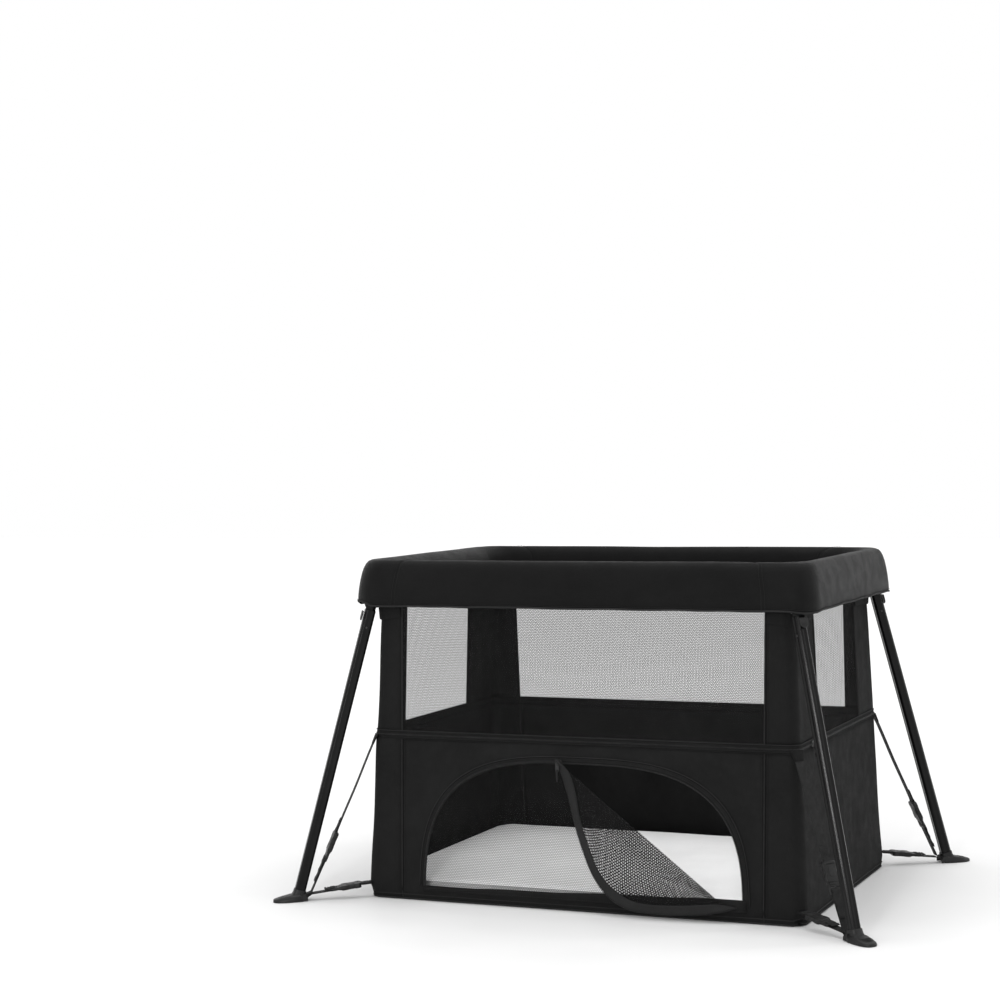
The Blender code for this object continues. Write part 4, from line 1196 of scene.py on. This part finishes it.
def fluted_square(width, chamfer, groove_half, groove_depth):
    """Outline of the leg's tube: softened chamfers, and a shallow flute down the middle of each face."""
    half, soft = width / 2, 0.0011
    slant = Vector((-math.sqrt(0.5), math.sqrt(0.5)))
    slope = half - groove_depth * 0.7
    face = [(half, -groove_half * 1.5), (slope, -groove_half * 0.8), (half - groove_depth, 0.0),
            (slope, groove_half * 0.8), (half, groove_half * 1.5)]
    points = []
    for quarter in range(4):
        c, s = math.cos(quarter * math.pi / 2), math.sin(quarter * math.pi / 2)
        arc = softened((half, half - chamfer), Vector((0, -1)), slant, soft)
        arc += softened((half - chamfer, half), -slant, Vector((-1, 0)), soft)
        points += [(x * c - y * s, x * s + y * c) for x, y in face + arc]
    return points


def tube_along(outline, stations, out, side):
    """Skins an outline along a run of (point, scale)."""
    rows = [[p + out * (x * scale) + side * (y * scale) for x, y in outline] for p, scale in stations]
    return grid_mesh(rows, wrap_row=True, caps=True)


LEG_LENGTH = (FOOT - HINGE).length
KNUCKLE_R, KNUCKLE_HALF = 0.0085, 0.0082
RIVET_AT, LOCK_AT = 0.0490, 0.0282    # down the leg from its hinge


def leg(corner, sx, sy):
    """The fluted tube with its knuckle, its rivets, and the ribbed tongue of the fold lock."""
    hinge, down, out, side = leg_frame(sx, sy)
    body = f"leg_{corner}"
    outline = fluted_square(LEG_W, LEG_CHAMFER, 0.0022, 0.0004)
    stops = [(0.0140, 0.90), (0.0148, 0.98), (0.0160, 1.0), (LEG_LENGTH * 0.5, 1.0),
             (LEG_LENGTH - 0.0172, 1.0), (LEG_LENGTH - 0.0166, 0.985)]
    tube = tube_along(outline, [(hinge + down * s, scale) for s, scale in stops], out, side)
    across = Vector((KNUCKLE_HALF, 0, 0))
    knuckle = cord_mesh([hinge - across, hinge + across], KNUCKLE_R, sides=28)
    neck = ribbon_mesh([hinge + down * 0.003, hinge + down * 0.0165], Vector((1, 0, 0)), 0.0110, 0.0130)
    made = piece(f"leg_profile_{corner}", outward(joined([tube, knuckle, neck])), TUBE_COAT, body,
                 30)
    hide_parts(f"leg_tube_{corner}")
    studs = []
    for face in (-1, 1):
        centre = hinge + down * RIVET_AT + side * (face * LEG_W / 2)
        rings = ((0.0000, 0.0024), (0.0004, 0.0023), (0.0008, 0.0018), (0.0010, 0.0010), (0.0011, 0.0002))
        rows = []
        for height, radius in rings:
            at = centre + side * (face * height)
            rows.append([at + out * (radius * math.cos(t)) + down * (radius * math.sin(t))
                         for t in (math.tau * k / 20 for k in range(20))])
        studs.append(outward(grid_mesh(rows, wrap_row=True, caps=True)))
    piece(f"leg_rivets_{corner}", joined(studs), PAINTED, body, 40)
    # tongue of the fold lock on the outboard face
    half = 0.0080
    turns = [math.pi * k / 12 for k in range(1, 12)]
    tongue = [(-half, -0.0085), (half, -0.0085), (half, 0.0010)]
    tongue += [(half * math.cos(a), 0.0010 + half * math.sin(a)) for a in turns]
    tongue += [(-half, 0.0010)]
    at = hinge + down * LOCK_AT + out * (LEG_W / 2 + 0.0034)
    place = axes_matrix(at, side, down, side.cross(down))
    plate = moulding([tongue], 0.0024, 0.0009, place)
    grips = [ribbon_mesh([at + side * dx + down * dy + out * 0.0013 for dx in (-0.0042, 0.0, 0.0042)],
                         down, 0.0010, 0.0010) for dy in (0.0010, 0.0032, 0.0054)]
    button = piece(f"fold_lock_{corner}", outward(joined([plate, *grips])), PLASTIC, f"button_{corner}",
                   40)
    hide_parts(f"release_button_{corner}")


# ---- feet ----------------------------------------------------------------------------------------------
# the straps' bar: reach along the splay, radius, height, half length; and where the straps meet before it
BAR_AT, BAR_R, BAR_Z, BAR_HALF = -0.0155, 0.0025, 0.0085, 0.0130
JOIN_REACH, JOIN_Z = -0.027, 0.0140
RIBS_AT = 0.0240                      # reach of the first grip rib on the toe
PAD_WIDE, PAD_TALL = 0.86, 0.92       # scales of the foot's sections below
# along the splay from the leg's axis: reach, half width, height
PAD_STATIONS = [
    (-0.0118, 0.0150, 0.0110), (-0.0105, 0.0172, 0.0142), (-0.0050, 0.0192, 0.0155), (0.0040, 0.0202, 0.0152),
    (0.0130, 0.0207, 0.0138), (0.0220, 0.0204, 0.0116), (0.0300, 0.0192, 0.0096), (0.0370, 0.0167, 0.0078),
    (0.0420, 0.0130, 0.0066), (0.0450, 0.0086, 0.0056), (0.0460, 0.0050, 0.0048),
]


def foot_axes(sx, sy):
    """The foot's place on the floor, the level way it points, and the way across it."""
    run = mirrored(FOOT - HINGE, sx, sy)
    run.z = 0
    run.normalize()
    return mirrored(FOOT, sx, sy), run, run.cross(UP)


def pad_section(half, height):
    """Flat sole with a small edge, sides that lean in, rounded shoulders."""
    half, height = PAD_WIDE * half, PAD_TALL * height
    right = [(half * 0.93, 0.0), (half, 0.0012), (half, height * 0.35), (half * 0.93, height * 0.68),
             (half * 0.76, height * 0.92), (half * 0.50, height)]
    return [(-half * 0.93, 0.0), *right] + [(-x, y) for x, y in right[:0:-1]]


def foot(corner, sx, sy):
    """The pad on the floor, the boot round the leg, the lugs with the straps' bar, and the grip ribs."""
    base, run, side = foot_axes(sx, sy)
    hinge, down, out, across = leg_frame(sx, sy)
    rows = [[base + run * reach + side * a + UP * z for a, z in pad_section(half, height)]
            for reach, half, height in PAD_STATIONS]
    pad = grid_mesh(rows, wrap_row=True, caps=True)
    # the boot that the tube stands in, flaring into the pad
    outline = rounded(1.0, 1.0, 0.55, 5)
    flare = [(0.0225, 0.01045), (0.0221, 0.01150), (0.0205, 0.01180), (0.0160, 0.01200), (0.0130, 0.01260),
             (0.0100, 0.01380), (0.0085, 0.01480)]
    boot = tube_along(outline, [(hinge + down * (LEG_LENGTH - s), w) for s, w in flare], out, across)
    meshes = [pad, boot]
    # two lugs at the inner end and the bar for the straps between them
    for face in (-1, 1):
        lug = [base + run * reach + side * (face * 0.0128) + UP * 0.0072
               for reach in (-0.0070, -0.0120, -0.0165, -0.0190)]
        heights = (0.0142, 0.0135, 0.0120, 0.0080)
        rows = [[p + side * (a * 0.0022) + UP * (h * (b + 1) / 2 - 0.0068 + 0.0004) for a, b in
                 ((-1, -0.9), (-0.7, -1), (0.7, -1), (1, -0.9), (1, 0.8), (0.6, 1), (-0.6, 1), (-1, 0.8))]
                for p, h in zip(lug, heights)]
        meshes.append(grid_mesh(rows, wrap_row=True, caps=True))
    bar = base + run * BAR_AT + UP * BAR_Z
    meshes.append(cord_mesh([bar - side * BAR_HALF, bar + side * BAR_HALF], BAR_R, sides=14))
    # grip ribs across the top of the toe
    for reach in (RIBS_AT, RIBS_AT + 0.0035, RIBS_AT + 0.0070, RIBS_AT + 0.0105):
        half = 0.0128 - 0.25 * (reach - RIBS_AT)
        height = 0.0103 - (reach - RIBS_AT) * 0.21
        line = [base + run * reach + side * (half * k / 4) + UP * (height + 0.0002 - 0.0022 * (k / 4) ** 4)
                for k in range(-4, 5)]
        meshes.append(ribbon_mesh(line, run, 0.0013, 0.0011))
    made = piece(f"foot_pad_{corner}", outward(joined(meshes)), PLASTIC, f"leg_{corner}", 38)
    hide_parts(f"foot_{corner}")


# ---- straps --------------------------------------------------------------------------------------------
STRAP_W, STRAP_T = 0.0198, 0.0015
# name, height of its tab on the wall, share of its length at which the wall's half ends
STRAPS = (("upper", 0.316, 0.62), ("lower", 0.028, 0.18))


def strap_line(sx, sy, tab_z):
    """From the wall's corner to the point by the foot where the straps meet."""
    half_x, half_y, radius = half_at(tab_z)
    pull = radius * (1 - math.sqrt(0.5)) - 0.0016
    start = Vector((sx * (half_x - pull), sy * (half_y - pull), tab_z))
    base, run, _ = foot_axes(sx, sy)
    return start, base + run * JOIN_REACH + UP * JOIN_Z


def mm(points):
    """Points in millimetres, in metres."""
    return [(x / 1000, y / 1000) for x, y in points]


def socket_meshes(place):
    """Buckle socket: y runs from its webbing slot to its mouth."""
    half = mm([(13, 3), (13, 8.5), (11.3, 11.5), (10.9, 17), (11.3, 23.5), (13, 27), (13, 33.5), (12.2, 36)])
    outline = mm([(-10.5, 0.4), (10.5, 0.4)]) + half + [(-x, y) for x, y in half[::-1]]
    slot_hole = moved(rounded(0.0102, 0.0016, 0.0009), 0.0048)
    shell = moulding([outline, slot_hole], 0.0092, 0.0016, place)
    boss = moulding([moved(rounded(0.0062, 0.0080, 0.0045), 0.0190)], 0.0102, 0.0006, place)
    prongs = [moulding([[(x + s * 0.0112, y + 0.0172) for x, y in rounded(0.0019, 0.0050, 0.0016)]],
                       0.0058, 0.0009, place) for s in (-1, 1)]
    return [shell, boss, *prongs]


def plug_meshes(place):
    """Buckle plug beyond the socket's mouth: shoulder, two slots and a ladder bar between them."""
    half = mm([(12, 36.5), (12, 41), (11.4, 43), (11.8, 47), (11.8, 55), (10.2, 58)])
    outline = half + [(-x, y) for x, y in half[::-1]]
    slots = [moved(rounded(0.0101, 0.0016, 0.0009), at) for at in (0.0462, 0.0526)]
    body = moulding([outline, *slots], 0.0052, 0.0011, place)
    shoulder = moulding([moved(rounded(0.0110, 0.0021, 0.0012), 0.0388)], 0.0070, 0.0009, place)
    return [body, shoulder]


def strap_place(start, way, at):
    """Placement of a buckle part on a strap, with the directions across and out of the strap."""
    across = way.cross(UP).normalized()
    normal = across.cross(way).normalized()
    return axes_matrix(start + way * at, across, way, normal), across, normal


def wall_half_strap(corner, sx, sy, which, tab_z, share):
    """Webbing from the wall's corner tab to the socket, doubled back through its slot."""
    start, end = strap_line(sx, sy, tab_z)
    way = (end - start).normalized()
    run = (end - start).length * share
    place, across, normal = strap_place(start, way, run)
    face = 1 if normal.z > 0 else -1
    up = normal * face
    main = [start + way * (-0.002 + (run + 0.003) * i / 24) + up * (0.0004 * math.sin(9 * i / 24))
            for i in range(25)]
    slot_at = run + 0.0030
    loop = [start + way * slot_at - up * 0.0012, start + way * (slot_at + 0.0016) + up * 0.0002,
            start + way * (slot_at + 0.0008) + up * 0.0026, start + way * (slot_at - 0.002) + up * 0.0034]
    back = min(0.030, run * 0.8)
    fold = [start + way * (slot_at - 0.002 - back * i / 6) + up * (0.0034 - 0.0014 * min(1, i / 2))
            for i in range(1, 7)]
    band = ribbon_mesh(main[:-1] + loop + fold, across, STRAP_W, STRAP_T)
    webbing = piece(f"{which}_webbing_{corner}", band, WEBBING, "root")
    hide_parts(f"{which}_strap_{corner}")
    far, near = [[start + way * at + across * x + up * 0.0030 for x in (-0.0085, 0.0085)]
                 for at in (slot_at - back + 0.004, slot_at - 0.010)]
    rows = [stitches(line, up, pitch=0.0024, length=0.0018)
            for line in (far, near, [far[0], near[1]], [far[1], near[0]])]
    sewn = sewing(f"{which}_bar_tack_{corner}", rows)
    # folded corner tab that the strap is sewn to
    tab_rows = []
    for i in range(7):
        t = i / 6
        p = start + way * (-0.001 + 0.020 * t) + up * 0.0011
        tab_rows.append([p + across * ((0.0135 - 0.0035 * t) * a) - up * (0.0006 * abs(a))
                         for a in (-1, -0.5, 0, 0.5, 1)])
    tab = cloth(f"{which}_tab_{corner}", grid_mesh(tab_rows), 0.0020, offset=0.0)
    buckle = piece(f"{which}_socket_{corner}", joined(socket_meshes(place)), PLASTIC, "root", 40)
    if which == "lower":
        for each in (webbing, sewn, tab, buckle):
            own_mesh(each)


def foot_half_strap(corner, sx, sy):
    """One webbing from the upper plug, round the foot's bar, to the lower plug, with two loose tails."""
    base, run, side = foot_axes(sx, sy)
    bar = base + run * BAR_AT + UP * BAR_Z
    join = base + run * JOIN_REACH + UP * JOIN_Z
    body = f"leg_{corner}"
    plugs, tails, bars = [], [], []
    for which, tab_z, share in STRAPS:
        start, end = strap_line(sx, sy, tab_z)
        way = (end - start).normalized()
        at = (end - start).length * share
        place, across, normal = strap_place(start, way, at)
        up = normal if normal.z > 0 else -normal
        plugs += plug_meshes(place)
        bar_at = start + way * (at + 0.0494)
        bars.append((bar_at, way, across, up))
        length = 0.048 if which == "upper" else 0.014
        tail = [bar_at + way * 0.0026 - up * 0.0022, bar_at + way * 0.0004 - up * 0.0028,
                bar_at - way * 0.0022 - up * 0.0010, bar_at - way * 0.0020 + up * 0.0014,
                bar_at + way * 0.0006 + up * 0.0030, bar_at + way * 0.0060 + up * 0.0032]
        tail += [bar_at + way * (0.0060 + length * i / 8) + up * (0.0026 + 0.0006 * math.sin(2 * i))
                 + across * (0.0012 * math.sin(i)) for i in range(1, 9)]
        tails.append(ribbon_mesh(tail, across, STRAP_W * 0.97, STRAP_T))
    (upper, upper_way, upper_across, upper_up), (lower, lower_way, lower_across, lower_up) = bars
    loop_r = BAR_R + 0.0003 + STRAP_T / 2
    lift = UP * 0.0016
    inward = [upper + upper_way * 0.0026 - upper_up * 0.0020, upper + upper_way * 0.008 - upper_up * 0.0008]
    inward += [upper.lerp(join + lift, t) - upper_up * (0.0006 * (1 - t)) for t in (0.3, 0.5, 0.7, 0.86)]
    loop = [join + lift]
    loop += [bar + run * (loop_r * math.cos(a)) + UP * (loop_r * math.sin(a))
             for a in (math.radians(d) for d in (110, 80, 50, 20, -10, -40, -70, -100))]
    loop += [join - lift]
    lower_end = lower + lower_way * 0.0026 - lower_up * 0.0020
    back = [(join - lift).lerp(lower_end, t) for t in (0.25, 0.5, 0.75, 1.0)]
    points = inward + loop + back
    bar_side = -side if upper_across.dot(side) < 0 else side
    aims = [upper_across] * len(inward) + [bar_side] * len(loop) + [lower_across] * len(back)
    band = ribbon_mesh(points, aims, STRAP_W, STRAP_T)
    webbing = piece(f"foot_webbing_{corner}", outward(joined([band, *tails])), WEBBING, body)
    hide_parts(f"foot_strap_{corner}")
    piece(f"strap_plugs_{corner}", outward(joined(plugs)), PLASTIC, body, 40)


# ---- gussets from the walls' top corners up under the rail -------------------------------------------------
GUSSET_Z, GUSSET_HIGH = 0.543, 0.021


def corner_gather(corner, sx, sy):
    """A gathered gusset that carries the wall's top corner up under the rail to the hub."""
    hinge = mirrored(HINGE, sx, sy)
    rows = []
    for k in range(9):
        t = k / 8
        z = GUSSET_Z + GUSSET_HIGH * t
        points = corner_run(sx, sy)(z, 0.0)
        row = []
        for i, p in enumerate(points):
            s = i / (len(points) - 1)
            swell = math.sin(math.pi * s)
            near = math.exp(-((p.xy - hinge.xy).length / 0.045) ** 2)
            aim = Vector((hinge.x - sx * 0.004, hinge.y - sy * 0.004, z + 0.004))
            crease = 0.0030 * math.sin(17 * math.pi * s) * (0.35 + 0.65 * t) * swell
            sag = 0.006 * (1 - t) * math.sin(math.pi * min(1.0, s * 2)) * near
            row.append(p.lerp(aim, 0.25 * t ** 1.3 * near) + outward_at(p) * (crease + 0.0026) - UP * sag)
        rows.append(row)
    refine(cloth(f"corner_gather_{corner}", grid_mesh(rows), 0.0016))


# ---- floor, pad ----------------------------------------------------------------------------------------
def floor_sheet():
    """The floor cloth with its piped edge, reaching out to the walls' hem."""
    edge = around(0.004, -0.0006)
    rows = [[Vector((p.x * share, p.y * share, 0.0028)) for p in edge]
            for share in (0.0004, 0.25, 0.5, 0.75, 0.92, 0.985, 1.0)]
    for row in rows[1:]:
        for p in row:
            p.z += 0.0008 * cloud_at(p, 0.12, 0.1, 41.0)
    mesh = grid_mesh(rows, wrap_row=True, flat_uv=lambda p: (p.x, p.y))
    sheet = cloth("floor_cloth", outward(mesh), 0.0016, "bed")
    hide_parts("floor_tray")
    for name, z, out, radius in (("lower", 0.0024, 0.0012, 0.0019), ("upper", 0.0110, 0.0008, 0.0010)):
        piping(f"hem_piping_{name}", [hem_point(p) for p in around(z, out)], radius, True, "bed")
    rows = [[hem_point(p) for p in around(z, out)]
            for z, out in ((0.0030, 0.0004), (0.0050, 0.0007), (0.0090, 0.0007), (0.0110, 0.0004))]
    cloth("hem_tape", outward(grid_mesh(rows, wrap_row=True)), 0.0010, "bed")


def hem_point(p):
    """The hem tucks in and lifts a little where the walls turn their corners."""
    hx, hy, r = half_at(p.z)
    turned = max(0.0, 1 - (hx - abs(p.x)) / r) * max(0.0, 1 - (hy - abs(p.y)) / r) * 2
    tuck = END_TUCK * turned * max(0.0, 1 - p.z / 0.028) ** 2
    return p - outward_at(p) * tuck + UP * (0.003 * turned)


# the pad's cover from under its edge, up the side and over the top: inset from the side, height
PAD_T = 0.0358
PAD_PROFILE = [
    (0.3700, 0.0004), (0.3400, 0.0004), (0.2000, 0.0002), (0.1000, 0.0), (0.0200, 0.0), (0.0080, 0.0006),
    (0.0022, 0.0045), (0.0004, 0.0110), (0.0, 0.0172), (0.0004, 0.0235), (0.0026, 0.0290), (0.0085, 0.0328),
    (0.0180, 0.0346), (0.0350, 0.0352), (0.0600, 0.0355), (0.0900, 0.0357),
]
PAD_PROFILE += [(inset / 1000, PAD_T) for inset in (120, 150, 180, 210, 240, 270, 300, 330, 355, 375)]
PAD_R = 0.034


PAD_SINK = 0.0011                 # how much lower the soft top lies than its profile


def pad_dip(y, height):
    """The pad's top sinks softly towards the door."""
    share = min(1.0, max(0.0, (-y - 0.09) / 0.17))
    return 0.0125 * share * share * (3 - 2 * share) * min(1.0, height / 0.03)


def mattress():
    """The pad with piping along both edges and a row of stitches."""
    low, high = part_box("mattress")
    grown = (high.z - low.z) / (PAD_T - PAD_SINK)
    rows = []
    for inset, height in PAD_PROFILE:
        height *= grown
        hx, hy = high.x - inset, high.y * (1 - inset / high.x)
        radius = min(max(PAD_R - inset, 0.012), hx * 0.9, hy * 0.9)
        row = []
        for x, y in ring_points(hx, hy, radius):
            p = Vector((x, y, low.z + height))
            if height > 0.012:
                soft = 0.0012 * cloud_at(p, 0.13, 0.1, 51.0) + 0.0005 * cloud_at(p, 0.04, 0.1, 53.0) - 0.0014
                p.z += soft * min(1.0, height / 0.03)
            p.z -= pad_dip(y, height)
            row.append(p)
        rows.append(row)
    mesh = grid_mesh(rows, wrap_row=True)
    pad = piece("mattress_pad", outward(mesh), PAD_KNIT, "pad")
    refine(pad)
    close_ends(pad.data)
    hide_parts("mattress")
    for name, height in (("lower", 0.0055), ("upper", 0.0292)):
        ring = [Vector((x, y, low.z + height * grown - pad_dip(y, height * grown)))
                for x, y in ring_points(high.x - 0.0016, high.y - 0.0016, PAD_R)]
        piping(f"mattress_piping_{name}", ring, 0.0017, True, "pad", PAD_KNIT)
    line = [Vector((x, y, low.z + 0.0262 * grown - pad_dip(y, 0.0262 * grown)))
            for x, y in ring_points(high.x + 0.0002, high.y + 0.0002, PAD_R)]
    sewn = stitches(line, [outward_at(p) for p in line], True)
    piece("mattress_stitching", sewn, PAD_KNIT, "pad")


def close_ends(mesh):
    """Fills the small openings left at the middle of the top and bottom."""
    work = bmesh.new()
    work.from_mesh(mesh)
    bmesh.ops.holes_fill(work, edges=[e for e in work.edges if e.is_boundary])
    bmesh.ops.recalc_face_normals(work, faces=work.faces)
    work.to_mesh(mesh)
    work.free()


def ring_points(hx, hy, r, per_long=48, per_short=30, per_bend=8):
    """A rounded rectangle as a closed run, anticlockwise from the front left."""
    points = []
    for sx, sy, turn in ((-1, -1, 180), (1, -1, 270), (1, 1, 0), (-1, 1, 90)):
        for k in range(per_bend + 1):
            a = math.radians(turn + 90 * k / per_bend)
            points.append((sx * (hx - r) + r * math.cos(a), sy * (hy - r) + r * math.sin(a)))
        if sx == sy:
            points += [(sx * (hx - r) * (1 - 2 * i / per_long), sy * hy) for i in range(1, per_long)]
        else:
            points += [(sx * hx, sy * (hy - r) * (1 - 2 * i / per_short)) for i in range(1, per_short)]
    return points


# ---- frame nodes that stay as they are -------------------------------------------------------------------
def dress_frame():
    """Materials for the hubs, pins, top tubes and board, which keep their CAD shape."""
    finishes = {"corner_hub": PLASTIC, "pivot_pin": STEEL, "top_tube": TUBE_COAT, "base_board": BOARD}
    for thing in list(bpy.data.objects):
        if thing.type != "MESH":
            continue
        for start, finish in finishes.items():
            if thing.name.startswith(start):
                for used in thing.material_slots:
                    used.material = finish


# ---- studio ------------------------------------------------------------------------------------------------
def studio():
    """White floor that fades into a white world through painted light: it glows faintly near the playpen and
    more strongly further out. Also a soft light from above and three upright strip lights.
    """
    floor = Nodes("studio_floor")
    at = floor.place("Object")
    floor.colour(floor.tint(floor.cloud(at, 2.0), grey(0.64), grey(0.66)))
    floor.rough(floor.ramp(floor.cloud(at, 5.0), 0.55, 0.7))
    floor.set(Specular_IOR_Level=0.1, Emission_Color=(1, 1, 1, 1))
    # painted light: the floor's glow, faint near the playpen and stronger further out, so that it fades into
    # the white world
    far = floor.ramp(floor.vector("LENGTH", at), 0.03, 0.40, 0.55, 3.0)
    floor.tree.links.new(far, floor.shader.inputs["Emission Strength"])
    mesh = bpy.data.meshes.new("studio_floor")
    half, below = 14, -0.0005
    verts = [(-half, -half, below), (half, -half, below), (half, half, below), (-half, half, below)]
    mesh.from_pydata(verts, [], [(0, 1, 2, 3)])
    mesh.materials.append(floor.material)
    ground = bpy.data.objects.new("studio_floor", mesh)
    SCENE.collection.objects.link(ground)
    world = bpy.data.worlds.new("studio")
    world.use_nodes = True
    world.node_tree.nodes["Background"].inputs[0].default_value = (1, 1, 1, 1)
    world.node_tree.nodes["Background"].inputs[1].default_value = 1.0
    SCENE.world = world
    lights = (("overhead", (0.0, -0.1, 3.2), (0, 0, 0.3), 2.0, 1.6, 56),
              ("front_strip", (0.60, -4.9, 1.2), (0.5, 0, 0.35), 0.30, 2.4, 95),
              ("left_strip", (-2.6, -1.6, 1.6), (0, 0, 0.3), 0.25, 2.0, 8),
              ("right_strip", (3.2, 1.4, 0.9), (0, 0, 0.3), 0.22, 2.0, 24))
    for name, place, target, width, height, power in lights:
        lamp = bpy.data.lights.new(name, "AREA")
        lamp.shape, lamp.size, lamp.size_y, lamp.energy = "RECTANGLE", width, height, power
        thing = bpy.data.objects.new(name, lamp)
        thing.location = place
        thing.rotation_euler = (Vector(target) - Vector(place)).to_track_quat("-Z", "Y").to_euler()
        SCENE.collection.objects.link(thing)


# the camera fitted to the photograph
CAMERA_AT = Vector((1.479, -3.798, 0.867))
YAW, PITCH, ROLL = math.radians(21.47), math.radians(5.44), math.radians(-0.95)


def camera():
    """The photograph's view, with the picture's middle shifted off the lens axis."""
    lens = bpy.data.cameras.new("camera")
    lens.sensor_width, lens.lens = 36.0, 74.58
    lens.shift_x, lens.shift_y = -0.1224, 0.1420
    thing = bpy.data.objects.new("camera", lens)
    forward = Vector((-math.sin(YAW) * math.cos(PITCH), math.cos(YAW) * math.cos(PITCH), -math.sin(PITCH)))
    level = Vector((math.cos(YAW), math.sin(YAW), 0))
    steep = level.cross(forward)
    right = level * math.cos(ROLL) + steep * math.sin(ROLL)
    up = steep * math.cos(ROLL) - level * math.sin(ROLL)
    thing.matrix_world = axes_matrix(CAMERA_AT, right, up, -forward)
    SCENE.collection.objects.link(thing)
    SCENE.camera = thing


# ---- the playpen -------------------------------------------------------------------------------------------
padded_rail()
level_zip()
net_window("front", long_run(-1))
net_window("back", long_run(1), crosswise)
net_window("left", short_run(-1))
net_window("right", short_run(1), crosswise)
for key, (east_side, north_side) in CORNERS.items():
    corner_panel(key, east_side, north_side)
    corner_gather(key, east_side, north_side)
    leg(key, east_side, north_side)
    foot(key, east_side, north_side)
    for strap, strap_z, strap_share in STRAPS:
        wall_half_strap(key, east_side, north_side, strap, strap_z, strap_share)
    foot_half_strap(key, east_side, north_side)
plain_skirt("left", end_run(-1), 10.0, END_TUCK)
plain_skirt("right", end_run(1), 12.0, END_TUCK)
plain_skirt("back", long_run(1), 17.0)
skirt_seams()
front_skirt()
door_frame()
closed_net()
open_flap()
sliders()
floor_sheet()
mattress()
dress_frame()
studio()
camera()
SCENE.view_settings.view_transform = "Standard"
